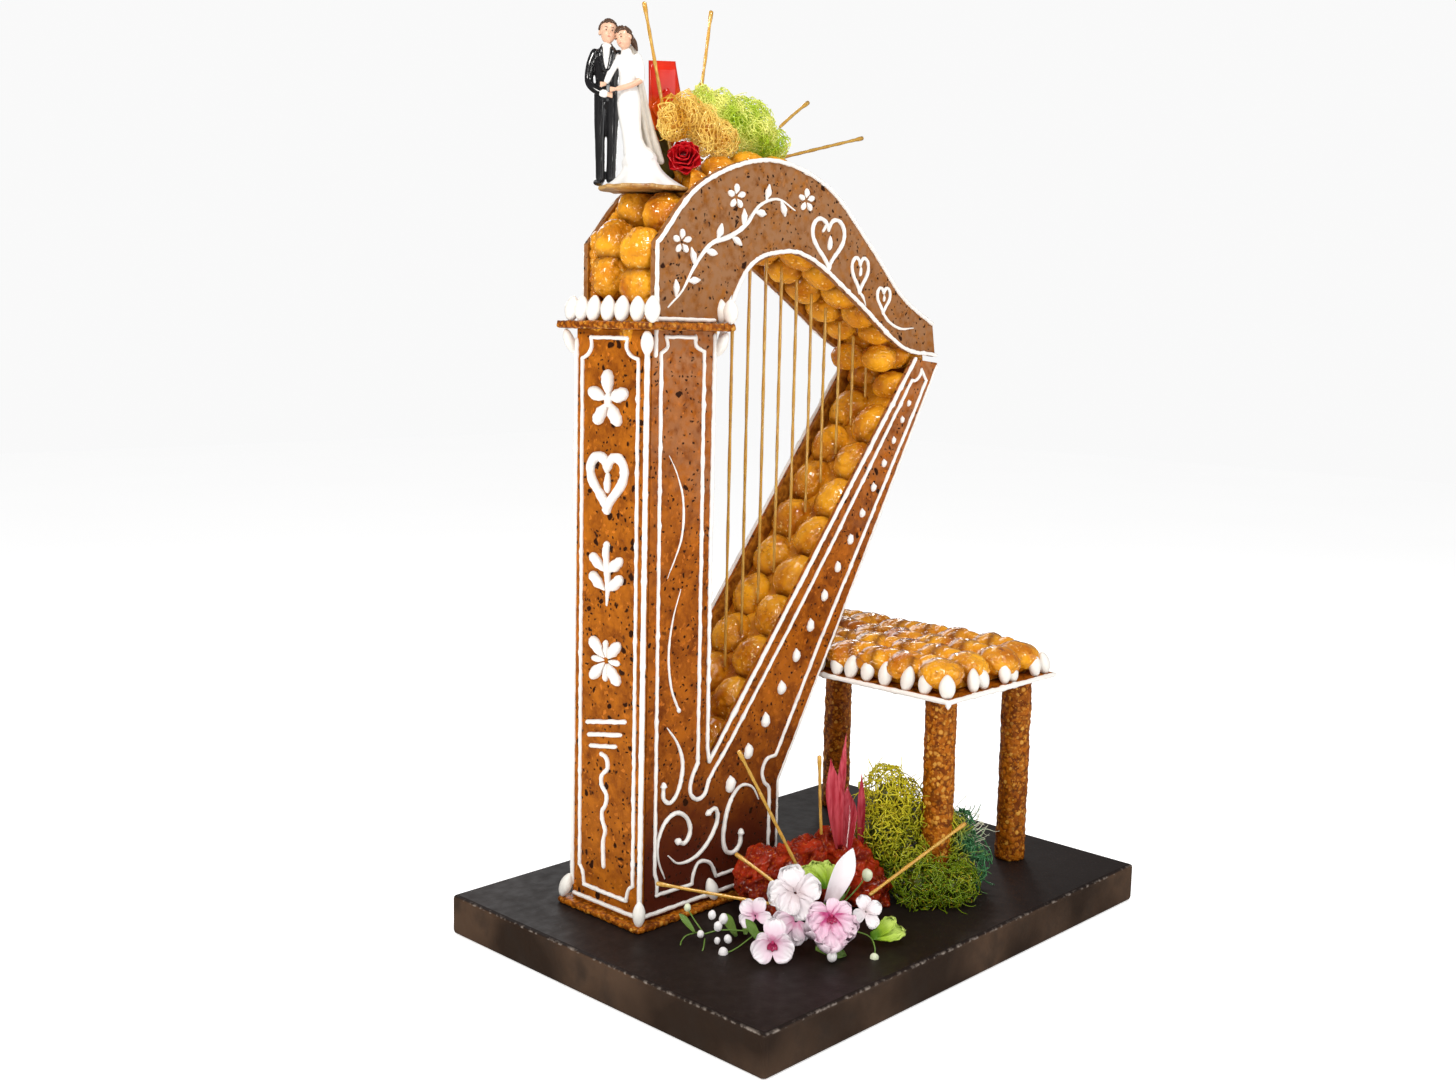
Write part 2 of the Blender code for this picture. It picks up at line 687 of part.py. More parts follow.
def bride_shape(bm, x):
    """Bride in a long flared gown, leaning to the groom."""
    bmesh.ops.create_cone(bm, cap_ends=True, segments=24, radius1=0.0330,
                          radius2=0.0215, depth=0.012,
                          matrix=Matrix.Translation((x + 0.017, 0, 0.006)))
    bmesh.ops.create_cone(bm, cap_ends=True, segments=24, radius1=0.0230,
                          radius2=0.0100, depth=0.028,
                          matrix=Matrix.Translation((x + 0.011, 0, 0.0258)))
    limb(bm, (x + 0.005, 0, 0.034), (x + 0.001, 0, 0.072), 0.0104, 0.0112)
    limb(bm, (x, 0, 0.078), (x - 0.001, 0, 0.092), 0.0104, 0.0068)
    oval(bm, (x - 0.001, 0, 0.103), (0.0098, 0.0068, 0.0135))
    limb(bm, (x - 0.002, 0, 0.112), (x - 0.0035, -0.001, 0.1215),
         0.0036, 0.0032)
    oval(bm, (x - 0.0045, -0.0015, 0.1290), (0.0070, 0.0080, 0.0090), -0.25)
    oval(bm, (x - 0.0030, 0.0020, 0.1320), (0.0078, 0.0085, 0.0082), -0.25)
    limb(bm, (x + 0.0022, 0.0065, 0.126), (x + 0.0050, 0.0068, 0.110),
         0.0034, 0.0018)
    limb(bm, (x + 0.0098, 0, 0.110), (x + 0.0118, -0.004, 0.092),
         0.0040, 0.0034)
    limb(bm, (x + 0.0118, -0.004, 0.092), (x - 0.008, -0.0105, 0.083),
         0.0034, 0.0028)
    limb(bm, (x - 0.010, 0, 0.110), (x - 0.018, -0.008, 0.089),
         0.0038, 0.0026)
    limb(bm, (x + 0.006, 0.008, 0.100), (x + 0.016, 0.010, 0.022),
         0.0036, 0.0090)


def build_pair():
    """Moulded bride and groom, cast as one piece."""
    bm = bmesh.new()
    groom_shape(bm, GROOM_X)
    bride_shape(bm, BRIDE_X)
    scale = Matrix.Scale(PAIR_HEIGHT / FIGURE_HEIGHT, 4)
    frame = Matrix((PAIR_ACROSS, -PAIR_FRONT, (0, 0, 1))).transposed()
    foot = (WAFER_CENTRE.x, WAFER_CENTRE.y,
            WAFER_Z + WAFER_THICKNESS + GAP + 0.0008)
    shape = Matrix.Translation(foot) @ frame.to_4x4() @ scale
    bmesh.ops.transform(bm, matrix=shape, verts=bm.verts)
    pair = place("couple", mesh_from(bm, "couple"),
                 material("couple", (0.85, 0.84, 0.82), 0.30), smooth=True)
    merge = pair.modifiers.new("one_cast", "REMESH")
    merge.mode = "VOXEL"
    merge.voxel_size = 0.0018
    thin = pair.modifiers.new("thin", "DECIMATE")
    thin.ratio = 0.08
    return pair


# ------------------------------------------------------ sugar and flowers

def blade(name, base, tip, width, thickness, finish, facing=PAIR_FRONT):
    """A pointed sheet of pulled sugar, broad a third of the way up."""
    base, tip = Vector(base), Vector(tip)
    up = (tip - base).normalized()
    side = up.cross(facing).normalized()
    depth = side.cross(up).normalized()
    length = (tip - base).length
    bm = bmesh.new()
    profile = [(0.35, 0.0), (1.0, 0.38), (0.72, 0.72), (0.10, 1.0)]
    ring = [(0.5 * width * w, t * length) for w, t in profile]
    ring += [(-u, v) for u, v in reversed(ring)]
    verts = [bm.verts.new(base + side * u + up * v) for u, v in ring]
    face = bm.faces.new(verts)
    grown = bmesh.ops.extrude_face_region(bm, geom=[face])
    moved = [e for e in grown["geom"] if isinstance(e, bmesh.types.BMVert)]
    bmesh.ops.translate(bm, verts=moved, vec=depth * thickness)
    return place(name, mesh_from(bm, name), finish)


def ruffled_flower(name, centre, facing, radius, petals, cup, finish,
                   seed=1, thickness=0.0016):
    """An open flower: a cupped, ruffled disc cut into petals."""
    noise = random.Random(seed)
    facing = Vector(facing).normalized()
    turn = facing.to_track_quat("Z", "Y").to_matrix().to_4x4()
    rings = 2
    around = petals * 5
    bm = bmesh.new()
    hub = bm.verts.new((0, 0, 0))
    phase = noise.uniform(0, math.tau)
    loops = []
    for ring in range(1, rings + 1):
        part = ring / rings
        loop = []
        for k in range(around):
            angle = math.tau * k / around
            lobe = abs(math.cos(petals * angle / 2))
            reach = radius * part * (0.62 + 0.38 * lobe ** 0.5)
            ruffle = 0.10 * radius * part * math.sin(3 * petals * angle + phase)
            lift = cup * radius * part ** 1.6 + ruffle * (part > 0.6)
            loop.append(bm.verts.new((reach * math.cos(angle),
                                      reach * math.sin(angle), lift)))
        loops.append(loop)
    for k in range(around):
        bm.faces.new((hub, loops[0][k], loops[0][(k + 1) % around]))
    for inner, outer in zip(loops, loops[1:]):
        for k in range(around):
            n = (k + 1) % around
            bm.faces.new((inner[k], outer[k], outer[n], inner[n]))
    bmesh.ops.transform(bm, verts=bm.verts,
                        matrix=Matrix.Translation(centre) @ turn)
    flower = place(name, mesh_from(bm, name), finish)
    wall = flower.modifiers.new("wall", "SOLIDIFY")
    wall.thickness = thickness
    wall.offset = 0.0
    return flower


def build_rose(centre, radius):
    """A rose head: rolled petals around a tight heart."""
    bm = bmesh.new()
    bmesh.ops.create_uvsphere(bm, u_segments=16, v_segments=8, radius=1.0)
    for vert in bm.verts:
        angle = math.atan2(vert.co.y, vert.co.x)
        tilt = math.acos(max(-1.0, min(1.0, vert.co.z)))
        fold = 0.13 * math.cos(5 * angle + 2.2 * tilt) * math.sin(tilt)
        dent = 0.22 * math.exp(-(tilt / 0.45) ** 2)
        vert.co *= radius * (0.92 + fold - dent)
    turn = PAIR_FRONT.to_track_quat("Z", "Y").to_matrix().to_4x4()
    bmesh.ops.transform(bm, verts=bm.verts,
                        matrix=Matrix.Translation(centre) @ turn)
    return place("rose", mesh_from(bm, "rose"),
                 material("rose", (0.55, 0.01, 0.02), 0.35), smooth=True)


def build_sugar_sheet():
    """Two panes of poured red sugar, one folded over the other."""
    bottom = Vector((-0.146, MID_Y + 0.010, 0.780))
    corners = [bottom, bottom + Vector((0.018, 0.000, 0.032)),
               bottom + Vector((0.002, -0.004, 0.084)),
               bottom + Vector((-0.025, 0.004, 0.082)),
               bottom + Vector((-0.019, 0.008, 0.010))]
    bm = bmesh.new()
    verts = [bm.verts.new(c) for c in corners]
    bm.faces.new(verts[:3])
    bm.faces.new((verts[0], verts[2], verts[3]))
    bm.faces.new((verts[0], verts[3], verts[4]))
    sheet = place("sugar_sheet", mesh_from(bm, "sugar_sheet"), red_sugar())
    wall = sheet.modifiers.new("wall", "SOLIDIFY")
    wall.thickness = 0.0022
    wall.offset = 0.0
    return sheet


def build_top_decor(puffs):
    amber = lumpy_cloud(
        "spun_sugar_amber",
        [((-0.1620, 0.055, 0.8060), (0.017, 0.012, 0.021)),
         ((-0.1440, 0.055, 0.8100), (0.018, 0.013, 0.021)),
         ((-0.1220, 0.053, 0.7960), (0.018, 0.013, 0.024))],
        11, material("spun_amber", (0.75, 0.36, 0.05), 0.4))
    green = lumpy_cloud(
        "spun_sugar_green",
        [((-0.0880, 0.072, 0.8150), (0.033, 0.028, 0.030)),
         ((-0.0500, 0.068, 0.8130), (0.033, 0.027, 0.026)),
         ((-0.0170, 0.066, 0.7970), (0.022, 0.022, 0.018))],
        12, material("spun_green", (0.45, 0.55, 0.12), 0.4))
    rose = build_rose((-0.1535, 0.0480, 0.7735), 0.0165)
    leaf = blade("rose_leaf", (-0.142, 0.079, 0.764), (-0.172, 0.088, 0.799),
                 0.026, 0.0016, material("leaf", (0.12, 0.12, 0.03), 0.5))
    sheet = build_sugar_sheet()
    for item in (amber, green, rose, leaf, sheet):
        cut_clear(item, puffs)
    cut_clear(amber, rose)
    cut_clear(green, amber)
    cut_clear(leaf, sheet)
    sticks = [((-0.1500, 0.069, 0.7760), (-0.1830, 0.0742, 0.9110)),
              ((-0.1185, 0.070, 0.8000), (-0.1020, 0.067, 0.9150)),
              ((-0.0180, 0.050, 0.8150), (0.0370, 0.062, 0.8460)),
              ((-0.0020, 0.062, 0.7870), (0.1330, 0.067, 0.8205))]
    for i, (start, end) in enumerate(sticks):
        stick = rod(f"top_stick_{i + 1}", start, end, STICK_RADIUS,
                    gold_sugar(), taper=0.85)
        cut_clear(stick, puffs)
        for cloud in (amber, green, sheet, leaf):
            cut_clear(cloud, stick)


def build_bottom_decor(stool_leg):
    floor = BOARD_HEIGHT + GAP
    moss = lumpy_cloud(
        "moss_cloud",
        [((0.050, -0.077, 0.108), (0.042, 0.042, 0.068)),
         ((0.054, -0.128, 0.073), (0.048, 0.040, 0.044)),
         ((0.092, -0.122, 0.080), (0.033, 0.033, 0.045))],
        21, material("moss_sugar", (0.25, 0.33, 0.05), 0.5))
    trimmed_flat(moss, floor)
    cut_clear(moss, stool_leg)
    sugar = lumpy_cloud(
        "sugar_rocks",
        [((-0.091, -0.017, 0.070), (0.030, 0.026, 0.036)),
         ((-0.058, -0.045, 0.078), (0.036, 0.034, 0.040)),
         ((-0.020, -0.074, 0.070), (0.030, 0.030, 0.036))],
        22, red_sugar(), roughness=0.16)
    trimmed_flat(sugar, floor)
    cut_clear(sugar, moss)
    blades = [("sugar_blade_1", (-0.034, -0.062, 0.100),
               (-0.0170, -0.060, 0.209), 0.016),
              ("sugar_blade_2", (-0.046, -0.076, 0.112),
               (-0.0500, -0.072, 0.200), 0.015),
              ("sugar_blade_3", (-0.004, -0.075, 0.090),
               (0.0000, -0.066, 0.165), 0.010)]
    for name, base, tip, width in blades:
        leaf = blade(name, base, tip, width, 0.0016,
                     material("pink_sugar", (0.60, 0.08, 0.16), 0.2))
        cut_clear(leaf, sugar)
        cut_clear(leaf, moss)
    sticks = [((-0.1080, -0.080, 0.1000), (-0.1740, -0.060, 0.2240)),
              ((-0.1330, -0.078, 0.0880), (-0.1480, -0.035, 0.1120)),
              ((-0.1520, -0.084, 0.0770), (-0.2250, -0.006, 0.0940)),
              ((-0.0840, -0.150, 0.0870), (0.0380, -0.170, 0.1340)),
              ((-0.0560, -0.064, 0.1190), (-0.0600, -0.062, 0.1980))]
    for i, (start, end) in enumerate(sticks):
        stick = rod(f"flower_stick_{i + 1}", start, end, STICK_RADIUS,
                    gold_sugar(), taper=0.8)
        cut_clear(stick, sugar)
    toward = (-0.66, -0.62, 0.42)
    ruffled_flower("orchid_centre", (-0.1400, -0.1490, 0.0760), toward, 0.0250,
                   5, 0.28, petal_white(), seed=1)
    ruffled_flower("orchid_upper", (-0.1260, -0.0930, 0.0850),
                   (-0.62, -0.50, 0.60), 0.0210, 5, 0.35, petal_white(), seed=2)
    ruffled_flower("orchid_left", (-0.1880, -0.1190, 0.0600),
                   (-0.74, -0.55, 0.38), 0.0190, 4, 0.30, petal_white(), seed=3)
    ruffled_flower("orchid_middle", (-0.1700, -0.0850, 0.0730),
                   (-0.78, -0.45, 0.45), 0.0165, 4, 0.40, petal_white(), seed=5)
    ruffled_flower("orchid_right", (-0.1000, -0.1580, 0.0750),
                   (-0.50, -0.74, 0.45), 0.0150, 4, 0.45, petal_white(), seed=4)
    blade("orchid_petal", (-0.1150, -0.1270, 0.0830), (-0.1050, -0.1430, 0.1310),
          0.0200, 0.0016, petal_white())
    blade("frilled_leaf", (-0.0920, -0.0960, 0.0880), (-0.0790, -0.0780, 0.1060),
          0.0260, 0.0016, material("leaf_fresh", (0.35, 0.50, 0.08), 0.5))
    blade("orchid_leaf", (-0.0900, -0.1640, 0.0500), (-0.0620, -0.1780, 0.0640),
          0.0180, 0.0016, material("leaf_fresh", (0.35, 0.50, 0.08), 0.5))


def build():
    clear_scene()
    make_collections()
    build_board()
    build_foot_plate()
    build_column()
    build_sides()
    build_soundbox_back()
    build_capital()
    build_neck_panels()
    neck_puffs = build_neck_puffs()
    cut_clear(build_soundbox_puffs(), PARTS.objects["soundbox_back"])
    build_strings()
    build_stool()
    build_stool_puffs()
    build_wafer()
    cut_wafer_seat(neck_puffs)
    build_pair()
    build_top_decor(neck_puffs)
    build_bottom_decor(PARTS.objects["stool_leg_1"])


build()
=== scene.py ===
"""Finished look of a croquembouche built as a harp with its stool.

Nougatine panels stand on a dark board. Caramel puffs fill them, and royal icing,
sugared almonds, spun sugar, flowers and a wedding couple decorate them.
"""

import math
import random

import bmesh
import bpy
from mathutils import Matrix, Vector, kdtree, noise


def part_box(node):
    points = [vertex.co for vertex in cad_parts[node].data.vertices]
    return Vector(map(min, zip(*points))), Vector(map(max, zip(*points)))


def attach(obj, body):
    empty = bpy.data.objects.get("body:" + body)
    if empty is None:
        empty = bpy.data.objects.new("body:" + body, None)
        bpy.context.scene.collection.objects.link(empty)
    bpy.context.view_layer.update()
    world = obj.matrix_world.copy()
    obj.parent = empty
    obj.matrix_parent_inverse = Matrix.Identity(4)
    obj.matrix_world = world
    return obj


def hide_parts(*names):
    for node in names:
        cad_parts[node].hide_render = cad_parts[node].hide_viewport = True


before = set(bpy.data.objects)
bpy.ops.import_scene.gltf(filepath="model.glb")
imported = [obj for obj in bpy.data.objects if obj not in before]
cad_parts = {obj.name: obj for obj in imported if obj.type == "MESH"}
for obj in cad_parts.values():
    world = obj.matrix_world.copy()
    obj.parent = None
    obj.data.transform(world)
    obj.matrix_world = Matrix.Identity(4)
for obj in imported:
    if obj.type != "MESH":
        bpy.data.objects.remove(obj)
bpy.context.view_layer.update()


# ---------------------------------------------------------------- studio
# A wide white floor under soft lights: a warm key from the left, a light from
# above, a weak fill in front, a light from behind and a pale sky all round.

def look_matrix(azimuth, elevation, roll, place):
    """Camera placement from its compass angle, height angle and tilt."""
    azimuth, elevation, roll = (math.radians(a)
                                for a in (azimuth, elevation, roll))
    back = Vector((math.sin(azimuth) * math.cos(elevation),
                   -math.cos(azimuth) * math.cos(elevation),
                   math.sin(elevation)))
    right = Vector((math.cos(azimuth), math.sin(azimuth), 0.0))
    up = back.cross(right)
    turned_right = right * math.cos(roll) + up * math.sin(roll)
    turned_up = up * math.cos(roll) - right * math.sin(roll)
    axes = Matrix((turned_right, turned_up, back)).transposed()
    return Matrix.Translation(place) @ axes.to_4x4()


camera_data = bpy.data.cameras.new("studio_camera")
camera_data.lens = 37.82
camera_data.sensor_width = 36.0
camera_data.clip_start = 0.05
camera = bpy.data.objects.new("studio_camera", camera_data)
camera.matrix_world = look_matrix(-46.2443, 7.7977, 1.2625,
                                  (-1.184, -1.007, 0.612))
bpy.context.scene.collection.objects.link(camera)
bpy.context.scene.camera = camera


def soft_light(name, place, aim, size, power, tint):
    """A square soft box that faces a point."""
    data = bpy.data.lights.new(name, "AREA")
    data.size = size
    data.energy = power
    data.color = tint
    lamp = bpy.data.objects.new(name, data)
    lamp.location = place
    direction = Vector(aim) - Vector(place)
    lamp.rotation_euler = direction.to_track_quat("-Z", "Y").to_euler()
    bpy.context.scene.collection.objects.link(lamp)


harp_middle = (-0.05, 0.0, 0.40)
soft_light("key_light", (-1.80, -0.10, 1.40), harp_middle, 0.36, 15.5,
           (1.0, 0.97, 0.93))
soft_light("top_light", (-0.30, -0.90, 2.10), harp_middle, 0.34, 13.0,
           (1.0, 0.99, 0.97))
soft_light("fill_light", (0.90, -1.80, 0.90), harp_middle, 1.2, 6.0,
           (0.98, 0.98, 1.0))
soft_light("back_light", (0.90, 1.70, 1.30), harp_middle, 1.2, 10.0,
           (1.0, 1.0, 1.0))
# Small weak lamps that only give the glazes their sparkle.
for i, place in enumerate(((-1.30, -1.30, 1.10), (-0.60, -1.50, 0.70),
                           (-1.60, -0.60, 0.35), (-0.90, -1.10, 1.70),
                           (1.30, 0.90, 1.00))):
    soft_light(f"sparkle_light_{i + 1}", place, harp_middle, 0.20, 1.7,
               (1.0, 0.99, 0.96))


def node(tree, kind, **values):
    """Add a shader node. A value that is a socket is linked."""
    made = tree.nodes.new("ShaderNode" + kind)
    for key, value in values.items():
        if key in made.inputs.keys() or key.replace("_", " ") in made.inputs.keys():
            socket = made.inputs[key if key in made.inputs.keys()
                                 else key.replace("_", " ")]
            if isinstance(value, bpy.types.NodeSocket):
                tree.links.new(value, socket)
            else:
                socket.default_value = value
        else:
            setattr(made, key, value)
    return made


def new_material(name, **shader_values):
    """A material and its tree, shader and object coordinates."""
    made = bpy.data.materials.new(name)
    made.use_nodes = True
    tree = made.node_tree
    shader = tree.nodes["Principled BSDF"]
    for key, value in shader_values.items():
        shader.inputs[key.replace("_", " ")].default_value = value
    coordinates = node(tree, "TexCoord").outputs["Object"]
    return made, tree, shader, coordinates


def mix(tree, share, low, high):
    """Colour between two colours or colour sockets."""
    made = tree.nodes.new("ShaderNodeMix")
    made.data_type = "RGBA"
    for index, value in ((0, share), (6, low), (7, high)):
        if isinstance(value, bpy.types.NodeSocket):
            tree.links.new(value, made.inputs[index])
        else:
            made.inputs[index].default_value = (
                value if index == 0 else (*value, 1.0))
    return made.outputs[2]


def ramp(tree, share, low, high):
    """0 below low, 1 above high, straight between."""
    return node(tree, "MapRange", Value=share, From_Min=low,
                From_Max=high).outputs["Result"]


def math_node(tree, operation, first, second=0.5):
    """One sum on two values or sockets."""
    made = tree.nodes.new("ShaderNodeMath")
    made.operation = operation
    for index, value in enumerate((first, second)):
        if isinstance(value, bpy.types.NodeSocket):
            tree.links.new(value, made.inputs[index])
        else:
            made.inputs[index].default_value = value
    return made.outputs[0]


def bumped(tree, shader, height, strength, distance):
    """Feed a height into the shader's normal."""
    bump = node(tree, "Bump", Height=height, Strength=strength,
                Distance=distance)
    tree.links.new(bump.outputs["Normal"], shader.inputs["Normal"])


def new_group(name, inputs, outputs):
    """An effect group with named inputs and outputs."""
    group = bpy.data.node_groups.new(name, "ShaderNodeTree")
    for label, value in inputs.items():
        kind = "NodeSocketVector" if label == "Vector" else "NodeSocketFloat"
        socket = group.interface.new_socket(label, in_out="INPUT",
                                            socket_type=kind)
        if value is not None:
            socket.default_value = value
    for label in outputs:
        kind = "NodeSocketColor" if "Colour" in label else "NodeSocketFloat"
        group.interface.new_socket(label, in_out="OUTPUT", socket_type=kind)
    start = group.nodes.new("NodeGroupInput")
    end = group.nodes.new("NodeGroupOutput")
    return group, start, end


def use_group(tree, group, **values):
    """Place an effect group in a material."""
    made = tree.nodes.new("ShaderNodeGroup")
    made.node_tree = group
    for key, value in values.items():
        socket = made.inputs[key.replace("_", " ")]
        if isinstance(value, bpy.types.NodeSocket):
            tree.links.new(value, socket)
        else:
            socket.default_value = value
    return made


# The sky is white to the eye and softer as a light, and softer still in
# reflections, so that glazes keep their depth.
sky = bpy.data.worlds.new("pale_sky")
sky.use_nodes = True
sky_tree = sky.node_tree
seen_by = node(sky_tree, "LightPath")
seen = math_node(sky_tree, "MULTIPLY", seen_by.outputs["Is Camera Ray"], 0.52)
mirrored = math_node(sky_tree, "MULTIPLY", seen_by.outputs["Is Glossy Ray"],
                     -0.28)
strength = math_node(sky_tree, "ADD", math_node(sky_tree, "ADD", seen, mirrored),
                     0.43)
sky_light = sky_tree.nodes["Background"]
sky_light.inputs["Color"].default_value = (1, 1, 1, 1)
sky_tree.links.new(strength, sky_light.inputs["Strength"])
bpy.context.scene.world = sky
bpy.context.scene.view_settings.view_transform = "Standard"

# Cloudy and fine unevenness that any hand-made surface has.
hand_made, start, end = new_group("hand_made", {"Vector": None, "Size": 30.0},
                                  ["Clouds", "Grain"])
cloud = node(hand_made, "TexNoise", Vector=start.outputs["Vector"],
             Scale=start.outputs["Size"], Detail=3.0)
fine_size = math_node(hand_made, "MULTIPLY", start.outputs["Size"], 9.0)
grain = node(hand_made, "TexNoise", Vector=start.outputs["Vector"],
             Scale=fine_size, Detail=4.0)
hand_made.links.new(cloud.outputs["Fac"], end.inputs["Clouds"])
hand_made.links.new(grain.outputs["Fac"], end.inputs["Grain"])

floor_paper, tree, shader, place = new_material(
    "studio_floor", Roughness=0.9, Specular_IOR_Level=0.1,
    Emission_Color=(1.0, 1.0, 1.0, 1.0))
uneven = use_group(tree, hand_made, Vector=place, Size=2.0)
paper = mix(tree, uneven.outputs["Clouds"], (0.93, 0.93, 0.93),
            (0.97, 0.97, 0.97))
mirrored = node(tree, "LightPath").outputs["Is Glossy Ray"]
tree.links.new(mix(tree, mirrored, paper, (0.12, 0.10, 0.08)),
               shader.inputs["Base Color"])
tree.links.new(node(tree, "MapRange", Value=mirrored, To_Min=0.55,
                    To_Max=0.05).outputs["Result"],
               shader.inputs["Emission Strength"])
bm = bmesh.new()
bmesh.ops.create_grid(bm, x_segments=2, y_segments=2, size=6.0)
bmesh.ops.translate(bm, verts=bm.verts, vec=(0.0, 0.0, -0.0006))
floor_mesh = bpy.data.meshes.new("studio_floor")
bm.to_mesh(floor_mesh)
bm.free()
floor_mesh.materials.append(floor_paper)
floor = bpy.data.objects.new("studio_floor", floor_mesh)
bpy.context.scene.collection.objects.link(floor)


# ----------------------------------------------------------------- board
# A thick laminated board, coated nearly black. Its top edge is worn pale and
# chipped, and its sides are brown and blotched.

board_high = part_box("board")[1]
board_coat, tree, shader, place = new_material(
    "board_coat", Roughness=0.42, Specular_IOR_Level=0.15)
spread = node(tree, "SeparateXYZ", Vector=place)
height = spread.outputs["Z"]
blotch = use_group(tree, hand_made, Vector=place, Size=9.0)
streaks = node(tree, "Mapping", Vector=place, Scale=(36.0, 36.0, 30.0))
streak = node(tree, "TexNoise", Vector=streaks.outputs["Vector"], Scale=1.0,
              Detail=5.0)
side_tone = mix(tree, ramp(tree, blotch.outputs["Clouds"], 0.40, 0.62),
                (0.026, 0.014, 0.008), (0.074, 0.041, 0.023))
side_tone = mix(tree, ramp(tree, streak.outputs["Fac"], 0.48, 0.80),
                side_tone, (0.026, 0.017, 0.012))
top_tone = mix(tree, blotch.outputs["Clouds"], (0.008, 0.005, 0.004),
               (0.022, 0.014, 0.012))
dust = node(tree, "TexNoise", Vector=place, Scale=420.0, Detail=2.0)
top_tone = mix(tree, ramp(tree, dust.outputs["Fac"], 0.70, 0.80), top_tone,
               (0.060, 0.050, 0.045))
on_top = ramp(tree, height, board_high.z - 0.0022, board_high.z - 0.0010)
coat = mix(tree, on_top, side_tone, top_tone)
chips = node(tree, "TexNoise", Vector=place, Scale=160.0, Detail=5.0)
edge_low = ramp(tree, height, board_high.z - 0.0030, board_high.z - 0.0022)
edge_high = ramp(tree, height, board_high.z - 0.0003, board_high.z - 0.0016)
edge = math_node(tree, "MULTIPLY", edge_low, edge_high)
worn = math_node(tree, "MULTIPLY", edge,
                 ramp(tree, chips.outputs["Fac"], 0.50, 0.66))
coat = mix(tree, worn, coat, (0.24, 0.20, 0.17))
tree.links.new(coat, shader.inputs["Base Color"])
tree.links.new(ramp(tree, blotch.outputs["Grain"], -0.9, 1.9),
               shader.inputs["Roughness"])
bumped(tree, shader, chips.outputs["Fac"], 0.22, 0.0008)


def coat_node(label, finish):
    """Give a part that keeps its own solid its finish."""
    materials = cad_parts[label].data.materials
    materials.clear()
    materials.append(finish)


coat_node("board", board_coat)


# ------------------------------------------------------ nougatine panels
# Almonds cooked in caramel, rolled flat and cut out. The sheets keep small
# pits and flecks. Over the upper parts of the side and neck sheets lies a
# dull, greyish patch of painted glare, a painted reflection of the lights,
# and the side sheets turn darker towards the bottom.

# Pits, dark spots and pale flecks of a rolled nougatine sheet.
baked_sheet, start, end = new_group(
    "baked_sheet", {"Vector": None, "Size": 1.0},
    ["Pits", "Spots", "Flecks"])
warp = node(baked_sheet, "TexNoise", Vector=start.outputs["Vector"],
            Scale=95.0, Detail=2.0)
wobble = node(baked_sheet, "VectorMath", operation="SCALE", Scale=0.010,
              Vector=warp.outputs["Color"])
warped = node(baked_sheet, "VectorMath", operation="ADD")
baked_sheet.links.new(start.outputs["Vector"], warped.inputs[0])
baked_sheet.links.new(wobble.outputs["Vector"], warped.inputs[1])
scaled = node(baked_sheet, "VectorMath", operation="SCALE",
              Vector=warped.outputs["Vector"], Scale=start.outputs["Size"])
cells = node(baked_sheet, "TexVoronoi", Vector=scaled.outputs["Vector"],
             Scale=96.0)
rare = node(baked_sheet, "SeparateColor", Color=cells.outputs["Color"])
chosen = ramp(baked_sheet, rare.outputs["Red"], 0.48, 0.56)
pit_size = math_node(baked_sheet, "MULTIPLY", rare.outputs["Green"], 0.36)
pit = ramp(baked_sheet, math_node(baked_sheet, "SUBTRACT",
                                  cells.outputs["Distance"], pit_size),
           0.05, -0.03)
small_cells = node(baked_sheet, "TexVoronoi", Vector=scaled.outputs["Vector"],
                   Scale=235.0)
small_rare = node(baked_sheet, "SeparateColor",
                  Color=small_cells.outputs["Color"])
speck = math_node(baked_sheet, "MULTIPLY",
                  ramp(baked_sheet, small_rare.outputs["Blue"], 0.70, 0.76),
                  ramp(baked_sheet, small_cells.outputs["Distance"], 0.36, 0.22))
pits = math_node(baked_sheet, "MAXIMUM",
                 math_node(baked_sheet, "MULTIPLY", chosen, pit), speck)
spots = node(baked_sheet, "TexNoise", Vector=scaled.outputs["Vector"],
             Scale=60.0, Detail=6.0, Roughness=0.65)
flecks = node(baked_sheet, "TexVoronoi", Vector=scaled.outputs["Vector"],
              Scale=330.0)
fleck = node(baked_sheet, "SeparateColor", Color=flecks.outputs["Color"])
baked_sheet.links.new(pits, end.inputs["Pits"])
baked_sheet.links.new(spots.outputs["Fac"], end.inputs["Spots"])
baked_sheet.links.new(fleck.outputs["Green"], end.inputs["Flecks"])


panels_inside = (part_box("side_near")[1].y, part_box("side_far")[0].y)


